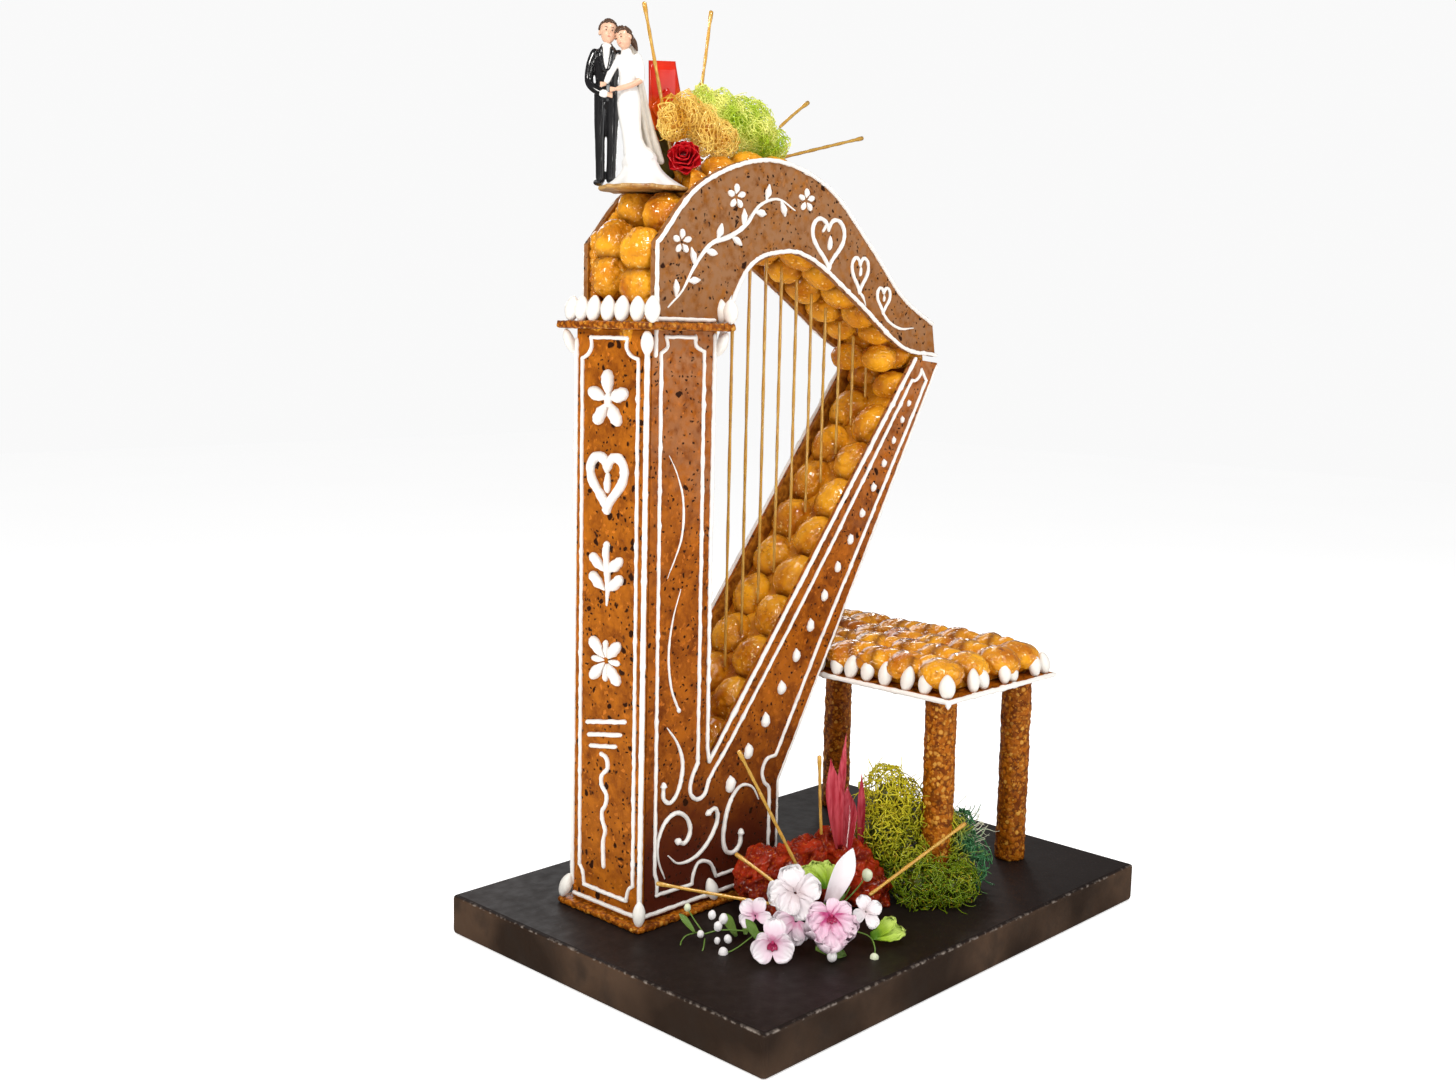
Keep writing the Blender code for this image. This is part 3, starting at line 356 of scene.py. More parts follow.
def nougatine(name, warm, deep, glare_tint, glare_from, glare_to, bloomed=True,
              darkened_below=0.0):
    """Rolled nougatine, with a dull, greyish painted glare (a painted reflection)
    that grows between two heights, caramel inside the harp and a darker tone
    below a height."""
    made, tree, shader, place = new_material(
        name, Coat_Weight=0.05, Coat_Roughness=0.20, Specular_IOR_Level=0.06)
    sheet = use_group(tree, baked_sheet, Vector=place, Size=1.0)
    cloud = use_group(tree, hand_made, Vector=place, Size=14.0)
    tone = mix(tree, ramp(tree, sheet.outputs["Spots"], 0.34, 0.62), deep, warm)
    tone = mix(tree, ramp(tree, sheet.outputs["Flecks"], 0.90, 1.04), tone,
               tuple(min(1.0, channel * 1.5 + 0.01) for channel in warm))
    spot = node(tree, "SeparateXYZ", Vector=place)
    height = spot.outputs["Z"]
    uneven = math_node(tree, "MULTIPLY",
                       math_node(tree, "SUBTRACT", cloud.outputs["Clouds"], 0.5),
                       0.28)
    reach = math_node(tree, "ADD", height, uneven)
    # Painted glare: a dull, greyish patch that grows upward between two heights and
    # stands in for the lights' reflection on the sheet.
    glare_patch = ramp(tree, reach, glare_from, glare_to)
    grained = ramp(tree, cloud.outputs["Grain"], 0.30, 0.58)
    tone = mix(tree, math_node(tree, "MULTIPLY", glare_patch, grained), tone, glare_tint)
    # Darker towards the bottom of the sheet, below a given height.
    if darkened_below:
        tone = mix(tree, ramp(tree, math_node(
            tree, "ADD", height, math_node(tree, "MULTIPLY", uneven, 0.35)),
            darkened_below + 0.07, darkened_below - 0.05), tone, (0.085, 0.015, 0.006))
    tone = mix(tree, sheet.outputs["Pits"], tone, (0.030, 0.008, 0.002))
    inside = math_node(
        tree, "MULTIPLY",
        ramp(tree, spot.outputs["Y"], panels_inside[0] - 0.0012,
             panels_inside[0] - 0.0004),
        ramp(tree, spot.outputs["Y"], panels_inside[1] + 0.0012,
             panels_inside[1] + 0.0004))
    caramel = mix(tree, ramp(tree, cloud.outputs["Grain"], 0.35, 0.65),
                  (0.20, 0.058, 0.006), (0.56, 0.22, 0.022))
    if bloomed:
        tone = mix(tree, inside, tone, caramel)
    tree.links.new(tone, shader.inputs["Base Color"])
    tree.links.new(node(tree, "MapRange", Value=sheet.outputs["Spots"],
                        To_Min=0.52, To_Max=0.30).outputs["Result"],
                   shader.inputs["Roughness"])
    relief = math_node(tree, "SUBTRACT",
                       math_node(tree, "MULTIPLY", cloud.outputs["Grain"], 0.5),
                       sheet.outputs["Pits"])
    bumped(tree, shader, relief, 0.8, 0.0011)
    return made


# On the side and neck sheets the greyish tone is painted glare over their upper
# parts. On the gold sheets it would start far above the harp, so it never shows.
panel_gold = nougatine("nougatine_gold", (0.430, 0.124, 0.0060),
                       (0.200, 0.047, 0.0025), (0.30, 0.16, 0.08), 2.0, 3.0,
                       bloomed=False)
panel_side = nougatine("nougatine_side", (0.420, 0.112, 0.0060),
                       (0.170, 0.036, 0.0025), (0.370, 0.155, 0.062), 0.38, 0.60,
                       darkened_below=0.15)
panel_neck = nougatine("nougatine_neck", (0.330, 0.115, 0.018),
                       (0.180, 0.054, 0.008), (0.300, 0.142, 0.062), 0.48, 0.68)
for label, finish in (("column_front", panel_gold), ("column_back", panel_gold),
                      ("soundbox_back", panel_gold), ("side_near", panel_side),
                      ("side_far", panel_side), ("neck_near", panel_neck),
                      ("neck_far", panel_neck), ("stool_plate", panel_gold)):
    coat_node(label, finish)


# --------------------------------------------- plates and legs, chopped
# Coarsely chopped almonds bound with caramel: pressed into thin plates under
# the harp and above its column, and rolled into the stool's four legs.

def finish_piece(name, bm, finish, slot, *stands_for, smooth=True):
    """Make the mesh an object of the part, on its body; its slot is not used."""
    mesh = bpy.data.meshes.new(name)
    bm.to_mesh(mesh)
    bm.free()
    for face in mesh.polygons:
        face.use_smooth = smooth
    mesh.materials.append(finish)
    piece = bpy.data.objects.new(name, mesh)
    bpy.context.scene.collection.objects.link(piece)
    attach(piece, "root")
    if stands_for:
        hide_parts(*stands_for)
    return piece


def roughen(bm, size, depth, seed, detail=2):
    """Push the surface in and out like a hand-made thing."""
    bm.normal_update()
    shift = Vector((seed * 7.31, seed * 3.77, seed * 5.13))
    moves = []
    for vert in bm.verts:
        value = noise.fractal(vert.co / size + shift, 0.8, 2.1, detail)
        moves.append(vert.normal * value * depth)
    for vert, move in zip(bm.verts, moves):
        vert.co += move


chopped, tree, shader, place = new_material(
    "chopped_nougatine", Roughness=0.34, Coat_Weight=0.25, Coat_Roughness=0.10,
    Specular_IOR_Level=0.08)
nuts = node(tree, "TexVoronoi", Vector=place, Scale=230.0)
nut = node(tree, "SeparateColor", Color=nuts.outputs["Color"])
small_nuts = node(tree, "TexVoronoi", Vector=place, Scale=520.0)
small_nut = node(tree, "SeparateColor", Color=small_nuts.outputs["Color"])
tone = mix(tree, ramp(tree, nut.outputs["Red"], 0.15, 0.75),
           (0.170, 0.036, 0.002), (0.410, 0.112, 0.005))
tone = mix(tree, ramp(tree, small_nut.outputs["Red"], 0.70, 0.95), tone,
           (0.54, 0.20, 0.018))
pale = math_node(tree, "MULTIPLY", ramp(tree, nut.outputs["Green"], 0.80, 0.92),
                 ramp(tree, nuts.outputs["Distance"], 0.60, 0.40))
tone = mix(tree, pale, tone, (0.66, 0.32, 0.05))
tone = mix(tree, ramp(tree, nuts.outputs["Distance"], 0.58, 0.90), tone,
           (0.120, 0.032, 0.004))
tree.links.new(tone, shader.inputs["Base Color"])
bumped(tree, shader, math_node(tree, "SUBTRACT", 1.0, nuts.outputs["Distance"]),
       0.55, 0.0012)

for label, seed in (("foot_plate", 1), ("capital_plate", 2)):
    low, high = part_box(label)
    middle = (low + high) / 2
    size = high - low
    bm = bmesh.new()
    bmesh.ops.create_cube(bm, size=1.0)
    bmesh.ops.scale(bm, verts=bm.verts, vec=size)
    bmesh.ops.bevel(bm, geom=bm.edges, offset=0.0024, offset_type="OFFSET",
                    affect="EDGES", segments=3, profile=0.5, material=-1)
    for axis in (0, 1):
        steps = int(size[axis] / 0.0022)
        for i in range(1, steps):
            cut = Vector((0.0, 0.0, 0.0))
            cut[axis] = -size[axis] / 2 + size[axis] * i / steps
            normal = Vector((0.0, 0.0, 0.0))
            normal[axis] = 1.0
            bmesh.ops.bisect_plane(
                bm, geom=[*bm.verts, *bm.edges, *bm.faces], dist=1e-6,
                plane_co=cut, plane_no=normal)
    bmesh.ops.translate(bm, verts=bm.verts, vec=middle)
    roughen(bm, 0.0060, 0.0009, seed)
    roughen(bm, 0.0024, 0.0005, seed + 3)
    finish_piece(label + "_chopped", bm, chopped, "nougatine_chopped", label)

for i in range(1, 5):
    low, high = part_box(f"stool_leg_{i}")
    middle = (low + high) / 2
    length = high.z - low.z
    radius = (high.x - low.x) / 2
    bm = bmesh.new()
    bmesh.ops.create_cone(bm, cap_ends=True, segments=56, radius1=radius,
                          radius2=radius, depth=length)
    rims = [edge for edge in bm.edges
            if abs(edge.verts[0].co.z - edge.verts[1].co.z) < 1e-6]
    bmesh.ops.bevel(bm, geom=rims, offset=0.002, offset_type="OFFSET",
                    affect="EDGES", segments=2, profile=0.5, material=-1)
    uprights = [edge for edge in bm.edges
                if abs(edge.verts[0].co.z - edge.verts[1].co.z) > length / 2]
    bmesh.ops.subdivide_edges(bm, edges=uprights, cuts=80,
                              use_grid_fill=False)
    bmesh.ops.translate(bm, verts=bm.verts, vec=middle)
    roughen(bm, 0.030, 0.0010, i)
    roughen(bm, 0.0045, 0.0011, i + 10)
    floor_height = low.z
    for vert in bm.verts:
        vert.co.z = min(max(vert.co.z, floor_height), high.z)
    finish_piece(f"stool_leg_{i}_chopped", bm, chopped, "nougatine_chopped",
                 f"stool_leg_{i}")


# -------------------------------------------------------- caramel puffs
# Choux puffs dipped in hot caramel and stuck together while it sets. The
# glaze is thick and glossy, runs into the hollows and leaves small beads.
# Small pale gold flecks in its colour are painted highlights, and the
# creases between puffs are painted dark, partly as pooled caramel and partly
# as painted shade.

glaze, tree, shader, place = new_material(
    "caramel_glaze", Roughness=0.24, Coat_Weight=0.9, Coat_Roughness=0.04,
    Specular_IOR_Level=0.15)
toast_and_glints = use_group(tree, hand_made, Vector=place, Size=34.0)
patchy = node(tree, "TexNoise", Vector=place, Scale=75.0, Detail=5.0,
              Roughness=0.7)
tone = mix(tree, ramp(tree, toast_and_glints.outputs["Clouds"], 0.32, 0.66),
           (0.500, 0.140, 0.004), (0.960, 0.430, 0.018))
tone = mix(tree, ramp(tree, patchy.outputs["Fac"], 0.60, 0.74), tone,
           (0.250, 0.050, 0.003))
# Small pale gold flecks: painted highlights that stand in for glints of the lights on
# the glaze.
tone = mix(tree, ramp(tree, toast_and_glints.outputs["Grain"], 0.62, 0.70), tone,
           (1.0, 0.68, 0.220))
# Creases between neighbouring puffs are painted dark: partly pooled caramel, partly
# painted shade where the puffs shadow each other.
crease_pool_and_shade = node(tree, "Attribute", attribute_name="crease_pool_and_shade").outputs["Fac"]
tone = mix(tree, math_node(tree, "MULTIPLY", crease_pool_and_shade, 0.84), tone,
           (0.135, 0.026, 0.0015))
tree.links.new(tone, shader.inputs["Base Color"])
runs = node(tree, "TexNoise", Vector=place, Scale=95.0, Detail=3.0,
            Distortion=0.8)
tree.links.new(node(tree, "MapRange", Value=patchy.outputs["Fac"], To_Min=0.10,
                    To_Max=0.30).outputs["Result"], shader.inputs["Roughness"])
bumped(tree, shader, math_node(tree, "ADD", runs.outputs["Fac"],
                               math_node(tree, "MULTIPLY",
                                         toast_and_glints.outputs["Grain"], 0.25)),
       0.70, 0.0030)
for label in ("neck_puffs", "soundbox_puffs", "stool_puffs"):
    coat_node(label, glaze)

side_low, side_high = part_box("side_near")
far_low, far_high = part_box("side_far")
near_y = side_low.y                        # outer faces of the side panels
far_y = far_high.y
middle_y = (near_y + far_y) / 2
column_back_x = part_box("column_back")[1].x
column_front_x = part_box("column_front")[0].x
neck_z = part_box("neck_near")[0].z
half_inside = (far_low.y - side_high.y) / 2
puff_across = half_inside / 2 - 0.0004
wafer_low, wafer_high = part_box("couple_wafer")
wafer_middle = (wafer_low + wafer_high) / 2
wafer_reach = (wafer_high.x - wafer_low.x) / 2 + 0.002


def pour_in(bm, other):
    """Add one bmesh to another and free it."""
    mesh = bpy.data.meshes.new("poured")
    other.to_mesh(mesh)
    other.free()
    bm.from_mesh(mesh)
    bpy.data.meshes.remove(mesh)


def add_puff(bm, centre, halves, turn, seed, detail=5):
    """One dipped puff: a lumpy ball with a cracked crown and glaze beads."""
    ball = bmesh.new()
    bmesh.ops.create_icosphere(ball, subdivisions=detail, radius=1.0)
    shift = Vector((seed * 1.7, seed * 2.9, seed * 0.6))
    for vert in ball.verts:
        spot = vert.co.copy()
        swell = 1.0 + 0.085 * noise.noise(spot * 1.3 + shift)
        swell += 0.045 * noise.noise(spot * 2.8 + shift)
        crack = abs(noise.noise(spot * 1.9 + shift * 2.0))
        swell -= 0.075 * max(0.0, 1.0 - crack / 0.09)
        drip = noise.noise(spot * 5.5 + shift)
        swell += 0.050 * max(0.0, drip - 0.30)
        swell += 0.010 * noise.noise(spot * 11.0 + shift)
        vert.co = spot * swell * 1.02
    shape = Matrix.Diagonal((*halves, 1.0))
    bmesh.ops.transform(ball, verts=ball.verts,
                        matrix=Matrix.Translation(centre) @ turn @ shape)
    for vert in ball.verts:
        apart = (vert.co.xy - wafer_middle.xy).length
        if apart < wafer_reach and vert.co.z > wafer_low.z - 0.0012:
            vert.co.z = wafer_low.z - 0.0012
    pour_in(bm, ball)


def smooth_route(points, step):
    """Evenly spaced points on a smooth curve through the given points."""
    points = [Vector(p) for p in points]
    points = [points[0] * 2 - points[1], *points, points[-1] * 2 - points[-2]]
    dense = []
    for a, b, c, d in zip(points, points[1:], points[2:], points[3:]):
        for i in range(24):
            t = i / 24
            dense.append(0.5 * (2 * b + (c - a) * t
                                + (2 * a - 5 * b + 4 * c - d) * t * t
                                + (3 * b - a - 3 * c + d) * t ** 3))
    dense.append(points[-2].copy())
    route = [dense[0]]
    gone = 0.0
    for last, here in zip(dense, dense[1:]):
        gone += (here - last).length
        if gone >= step:
            route.append(here)
            gone = 0.0
    if (dense[-1] - route[-1]).length > step * 0.3:
        route.append(dense[-1])
    return route


def along(route, distance):
    """Point and direction at a distance along a route."""
    for last, here in zip(route, route[1:]):
        leg = (here - last).length
        if distance <= leg:
            return last + (here - last) * (distance / leg), (here - last) / leg
        distance -= leg
    return route[-1].copy(), (route[-1] - route[-2]).normalized()


def shade_hollows(bm, centres, reach):
    """Mark the creases between neighbouring puffs, to be painted dark as pooled
    caramel and as painted shade.
    """
    crease_pool_and_shade = bm.verts.layers.float.new("crease_pool_and_shade")
    tree = kdtree.KDTree(len(centres))
    for i, centre in enumerate(centres):
        tree.insert(Vector(centre), i)
    tree.balance()
    for vert in bm.verts:
        (_, _, own), (_, _, other) = tree.find_n(vert.co, 2)
        vert[crease_pool_and_shade] = min(max(1.0 - (other - own) / reach, 0.0), 1.0) ** 1.5


def lay_puffs(bm, route, rows, first, pitch, inset, halves, stagger, seed,
              smaller=()):
    """Rows of two puffs across the harp, along a route in its plane."""
    dice = random.Random(seed)
    centres = []
    for row in range(rows):
        share = smaller[row] if row < len(smaller) else 1.0
        for side in (-1, 1):
            distance = first + row * pitch + side * stagger * share / 2
            point, direction = along(route, distance)
            normal = Vector((-direction.y, direction.x))
            centre = point - normal * inset * share
            size = share * (1.0 - dice.uniform(0.0, 0.05))
            turn = Matrix(((direction.x, 0.0, normal.x), (0.0, 1.0, 0.0),
                           (direction.y, 0.0, normal.y))).to_4x4()
            spin = Matrix.Rotation(dice.uniform(-0.3, 0.3), 4, "Z")
            centres.append(Vector((centre.x, middle_y + side
                                   * (puff_across + 0.0003), centre.y)))
            add_puff(bm, centres[-1],
                     (halves[0] * size, halves[1], halves[2] * size),
                     turn @ spin, dice.uniform(0, 90))
    shade_hollows(bm, centres, 0.011)


# The arch of the neck: the outline that its panels were cut to.
neck_front_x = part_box("neck_near")[0].x
neck_upper = [(-0.217, 0.690), (-0.160, 0.748), (-0.070, 0.778),
              (0.020, 0.760), (0.095, 0.703), (0.150, 0.6545), (0.206, 0.626)]
neck_lower = [(0.2135, 0.588), (0.152, 0.597), (0.072, 0.644), (0.002, 0.682),
              (-0.045, 0.688), (-0.095, 0.668), (-0.1365, neck_z)]
upper_route = smooth_route(neck_upper, 0.004)
lower_route = smooth_route(neck_lower, 0.004)
front_route = [Vector((neck_front_x, neck_z)), *upper_route]
v_point = Vector((column_back_x, 0.186))   # where column and soundbox part
box_top_in = Vector((0.177, 0.5852))
box_top_out = Vector((0.2185, 0.5812))
knee = Vector((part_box("foot_plate")[1].x - 0.011, 0.150))
soundbox_length = (box_top_in - v_point).length

bm = bmesh.new()
lay_puffs(bm, front_route, 13, 0.0235, 0.043, 0.0125,
          (0.0228, puff_across, 0.0220), 0.010, 3,
          (1.0,) * 9 + (0.9, 0.78, 0.62, 0.5))
finish_piece("puffs_over_arch", bm, glaze, "caramel_puff")
bm = bmesh.new()
lay_puffs(bm, lower_route, 10, 0.046, 0.038, 0.0150,
          (0.0218, puff_across, 0.0190), 0.012, 5, (0.62, 0.7, 0.85))
finish_piece("puffs_under_arch", bm, glaze, "caramel_puff")
bm = bmesh.new()
pitch = (soundbox_length - 0.062) / 9
lay_puffs(bm, [v_point, box_top_in], 10, 0.041, pitch, 0.0205,
          (0.0268, puff_across, 0.0232), pitch * 0.40, 9,
          (1.0,) * 9 + (0.62,))
# Three more pairs close the corner between the soundbox and the arch.
dice = random.Random(14)
for x, z, size in ((0.148, 0.5860, 0.0165), (0.172, 0.5895, 0.0175),
                   (0.196, 0.5870, 0.0140)):
    for side in (-1, 1):
        add_puff(bm, (x, middle_y + side * (puff_across + 0.0003), z),
                 (size, puff_across, size * 0.9), Matrix.Identity(4),
                 dice.uniform(0, 90))
finish_piece("puffs_up_soundbox", bm, glaze, "caramel_puff")

# Caramel that ran out between the far neck panel and the puffs.
rope_y = far_low.y - 0.0055
bm = bmesh.new()
for i, spot in enumerate(smooth_route(front_route[:60], 0.0036)):
    inward = Vector((0.0050, -0.0014)) if spot.y < 0.70 else Vector(
        (0.0028, -0.0052))
    size = 0.0050 * random.Random(i).uniform(0.8, 1.3)
    bmesh.ops.create_icosphere(
        bm, subdivisions=2, radius=size, matrix=Matrix.Translation(
            (spot.x + inward.x, rope_y, spot.y + inward.y)))
roughen(bm, 0.0045, 0.0010, 9)
finish_piece("caramel_along_neck", bm, glaze, "caramel_puff", "neck_puffs")

# The stool's cushion: flattened puffs set close, with small ones pressed into
# the gaps on top.
stool_low, stool_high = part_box("stool_plate")
cushion_low, cushion_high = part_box("stool_puffs")
count_long, count_cross = 4, 7
bm = bmesh.new()
dice = random.Random(8)
long_pitch = (cushion_high.x - cushion_low.x) / count_long
cross_pitch = (cushion_high.y - cushion_low.y) / count_cross
thick = (cushion_high.z - cushion_low.z) / 2
centres = []
for i in range(count_long):
    for j in range(count_cross):
        centre = Vector((cushion_low.x + long_pitch * (i + 0.5),
                         cushion_low.y + cross_pitch * (j + 0.5),
                         cushion_low.z + thick))
        centre += Vector((dice.uniform(-1, 1), dice.uniform(-1, 1), 0)) * 0.003
        centres.append(centre)
        add_puff(bm, centre, (long_pitch * 0.55, cross_pitch * 0.56,
                              thick * dice.uniform(0.90, 1.02)),
                 Matrix.Rotation(dice.uniform(0, 6), 4, "Z"),
                 dice.uniform(0, 90))
for i in range(count_long):
    for j in range(count_cross - 1):
        centre = Vector((cushion_low.x + long_pitch * (i + 0.55),
                         cushion_low.y + cross_pitch * (j + 1.0),
                         cushion_high.z - 0.0105))
        centre += Vector((dice.uniform(-1, 1), dice.uniform(-1, 1), 0)) * 0.004
        centres.append(centre)
        add_puff(bm, centre, (0.014, 0.011, 0.0095),
                 Matrix.Rotation(dice.uniform(0, 6), 4, "Z"),
                 dice.uniform(0, 90), detail=4)
shade_hollows(bm, centres, 0.008)
finish_piece("puffs_of_cushion", bm, glaze, "caramel_puff")


# --------------------------------------------------------------- strings
# Pulled sugar, drawn out into thin amber rods with a golden lustre. Each one
# hangs from the arch and ends in the valley between the puffs.

gold_sugar, tree, shader, place = new_material(
    "gold_sugar", Roughness=0.24, Coat_Weight=0.9, Coat_Roughness=0.08)
long_grain = node(tree, "Mapping", Vector=place, Scale=(900.0, 900.0, 120.0))
strands = node(tree, "TexNoise", Vector=long_grain.outputs["Vector"],
               Scale=1.0, Detail=2.0)
lustre = use_group(tree, hand_made, Vector=place, Size=60.0)
tone = mix(tree, ramp(tree, strands.outputs["Fac"], 0.35, 0.65),
           (0.44, 0.20, 0.020), (0.82, 0.52, 0.120))
tone = mix(tree, ramp(tree, lustre.outputs["Clouds"], 0.40, 0.66), tone,
           (0.64, 0.33, 0.045))
tree.links.new(tone, shader.inputs["Base Color"])
tree.links.new(ramp(tree, strands.outputs["Fac"], 0.2, 2.2),
               shader.inputs["Metallic"])
bumped(tree, shader, strands.outputs["Fac"], 0.35, 0.0005)


def ends_of(label):
    """The two end points of a long thin CAD node."""
    corners = [vert.co.copy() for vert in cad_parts[label].data.vertices]
    centre = sum(corners, Vector()) / len(corners)
    axis = (max(corners, key=lambda c: (c - centre).length) - centre)
    axis.normalize()
    reach = [(corner - centre).dot(axis) for corner in corners]
    ends = []
    for limit in (min(reach), max(reach)):
        near = [c for c, r in zip(corners, reach) if abs(r - limit) < 0.0012]
        ends.append(sum(near, Vector()) / len(near))
    return sorted(ends, key=lambda end: end.z)


def tubes(name, routes, sides=2):
    """A bmesh of round tubes. A route is a list of (point, radius)."""
    curve = bpy.data.curves.new(name, "CURVE")
    curve.dimensions = "3D"
    curve.bevel_depth = 0.001
    curve.bevel_resolution = sides
    curve.use_fill_caps = True
    for route in routes:
        spline = curve.splines.new("POLY")
        spline.points.add(len(route) - 1)
        for knot, (point, radius) in zip(spline.points, route):
            knot.co = (*point, 1.0)
            knot.radius = radius / 0.001
    carrier = bpy.data.objects.new(name, curve)
    bpy.context.scene.collection.objects.link(carrier)
    bpy.context.view_layer.update()
    mesh = bpy.data.meshes.new_from_object(
        carrier.evaluated_get(bpy.context.evaluated_depsgraph_get()))
    bpy.data.objects.remove(carrier)
    bm = bmesh.new()
    bm.from_mesh(mesh)
    bpy.data.meshes.remove(mesh)
    return bm


def pulled_rod(start, end, radius, seed, taper=1.0, bow=0.0):
    """Route of one rod of pulled sugar, never quite straight or even."""
    dice = random.Random(seed)
    length = (end - start).length
    count = max(6, int(length / 0.006))
    sway = Vector((dice.uniform(-1, 1), dice.uniform(-1, 1), 0.0)) * bow
    route = []
    for i in range(count + 1):
        share = i / count
        point = start.lerp(end, share) + sway * math.sin(math.pi * share)
        wide = radius * (1.0 + (taper - 1.0) * share)
        wide *= 1.0 + 0.10 * math.sin(share * 37.0 + seed) \
            + dice.uniform(-0.05, 0.05)
        route.append((point, wide))
    tip, tip_radius = route[-1]
    direction = (end - start).normalized()
    route.append((tip + direction * tip_radius * 0.6, tip_radius * 0.55))
    foot, foot_radius = route[0]
    route.insert(0, (foot - direction * foot_radius * 0.6, foot_radius * 0.55))
    return route


string_count = sum(label.startswith("string_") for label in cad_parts)
for i in range(1, string_count + 1):
    low_end, high_end = ends_of(f"string_{i:02d}")
    route = pulled_rod(low_end, high_end, 0.00150, i, 1.12, 0.0006)
    bm = tubes(f"string_{i:02d}_sugar", [route])
    finish_piece(f"string_{i:02d}_sugar", bm, gold_sugar, "gold_sugar",
                 f"string_{i:02d}")


# ----------------------------------------------------------- royal icing
# White icing piped by hand along every edge and over the panels. A stroke is
# a rounded bead that swells and thins, and ends in a blob or a thin tail.

icing, tree, shader, place = new_material(
    "royal_icing", Roughness=0.45, Coat_Weight=0.10, Coat_Roughness=0.3,
    Specular_IOR_Level=0.25)
dried = use_group(tree, hand_made, Vector=place, Size=55.0)
tree.links.new(mix(tree, dried.outputs["Clouds"], (0.84, 0.80, 0.74),
                   (0.95, 0.93, 0.90)), shader.inputs["Base Color"])
bumped(tree, shader, dried.outputs["Grain"], 0.25, 0.0005)


def near_face(across, up, lift):
    """Place on the outer face of the near panels."""
    return Vector((across, near_y - lift, up))


def far_face(across, up, lift):
    """Place on the outer face of the far panels."""
    return Vector((across, far_y + lift, up))


def front_face(across, up, lift):
    """Place on the column's front."""
    return Vector((column_front_x - lift, across, up))


def stroke(points, face, width, thin_start=False, thin_end=False, seed=0,
           straight=False, blob=0.0):
    """Route of one piped stroke, from points in millimetres on a face."""
    dice = random.Random(seed * 13 + len(points))
    points = [Vector((x / 1000, y / 1000)) for x, y in points]
    if straight:
        flat = []
        for a, b in zip(points, points[1:]):
            steps = max(2, int((b - a).length / 0.0045))
            flat += [a.lerp(b, i / steps) for i in range(steps)]
        flat.append(points[-1])
    else:
        flat = smooth_route(points, 0.0028)
    route = []
    count = max(1, len(flat) - 1)
    for i, spot in enumerate(flat):
        share = i / count
        wide = width * dice.uniform(0.90, 1.10)
        if straight and dice.random() < 0.05:
            wide *= 1.28
        if thin_start:
            wide *= 0.30 + 0.70 * min(1.0, share / 0.45)
        if thin_end:
            wide *= 0.30 + 0.70 * min(1.0, (1 - share) / 0.45)
        if straight:
            spot = spot + Vector((dice.uniform(-1, 1),
                                  dice.uniform(-1, 1))) * 0.00030
        route.append((face(spot.x, spot.y, wide * 0.14), wide / 2))
    if blob:
        place, radius = route[-1]
        route[-1] = (place, blob / 2 * 0.86)
        route.insert(-1, (route[-2][0].lerp(place, 0.5), blob / 2))
    rounded = []
    for end, step in ((0, 1), (-1, -1)):
        place, radius = route[end]
        inner = route[end + step][0]
        outward = (place - inner).normalized()
        rounded.append((place + outward * radius * 0.72, radius * 0.62))
        rounded.append((place + outward * radius * 0.96, radius * 0.22))
    return [rounded[1], rounded[0], *route, rounded[2], rounded[3]]


def heart(centre, wide, tall, lean):
    """Points of a heart drawn from its tip round to its tip, in mm."""
    points = []
    for i in range(25):
        t = math.radians(180 + i * 15)
        x = 16 * math.sin(t) ** 3 / 32 * wide
        y = (13 * math.cos(t) - 5 * math.cos(2 * t) - 2 * math.cos(3 * t)
             - math.cos(4 * t) + 2.5) / 29 * tall
        points.append((centre[0] + x + lean * y, centre[1] + y))
    return points


def tear(centre, wide, tall, lean=0.0):
    """A short fat stroke that ends in a point: a piped teardrop."""
    x, y = centre
    return [(x - lean * tall / 2, y - tall / 2 + wide / 2), (x, y),
            (x + lean * tall / 2, y + tall / 2)], wide


# Borders of both side panels: column, foot, soundbox and the keyhole where
# the two lines meet.
slant = [(-135, 188), (178, 586)]
side_lines = [
    ([(-208, 590), (-207, 330), (-206, 92)], 3.8, True),
    ([(-152, 592), (-151, 400), (-150, 192)], 3.8, True),
    ([(-202, 605), (-164, 605)], 3.8, True),
    ([(-202, 605), (-200, 596), (-208, 590)], 3.8, False),
    ([(-164, 606), (-163, 597), (-153, 592)], 3.8, False),
    ([(-138, 607), (-138.5, 400), (-137, 205), (-134, 190)], 4.2, True),
    ([(-134, 190), *slant[1:]], 4.2, True),
    ([(-134, 172), (-104, 206), (-19, 311), (48, 397), (172, 562)], 3.8, True),
    ([(-150, 192), (-158, 178), (-160, 164), (-151, 155), (-140, 158),
      (-134, 172)], 4.4, False),
    ([(172, 562), (179, 562), (186, 567), (189, 574)], 3.4, False),
    ([(190, 572), (198, 562), (178, 528), (84, 377), (29, 289), (-36, 178)],
     3.8, True),
    ([(-36, 178), (-50, 176), (-56, 164), (-52, 152), (-45, 144), (-44, 118)],
     4.0, False),
    ([(-44, 118), (-44, 70)], 3.8, True),
    ([(217, 578), (-31.5, 150), (-31.5, 62)], 2.6, True),
    ([(-206, 92), (-203, 84), (-203, 71)], 3.8, False),
    ([(-203, 70), (-155, 69)], 3.8, True),
    ([(-155, 70), (-153, 80), (-147, 89), (-138, 89), (-128, 83), (-121, 69)],
     3.8, False),
    ([(-121, 69), (-44, 69)], 3.8, True),
    ([(-221, 52.5), (-134, 52.5)], 4.2, True),
    ([(-126, 52.5), (-38, 52.5)], 4.2, True),
]
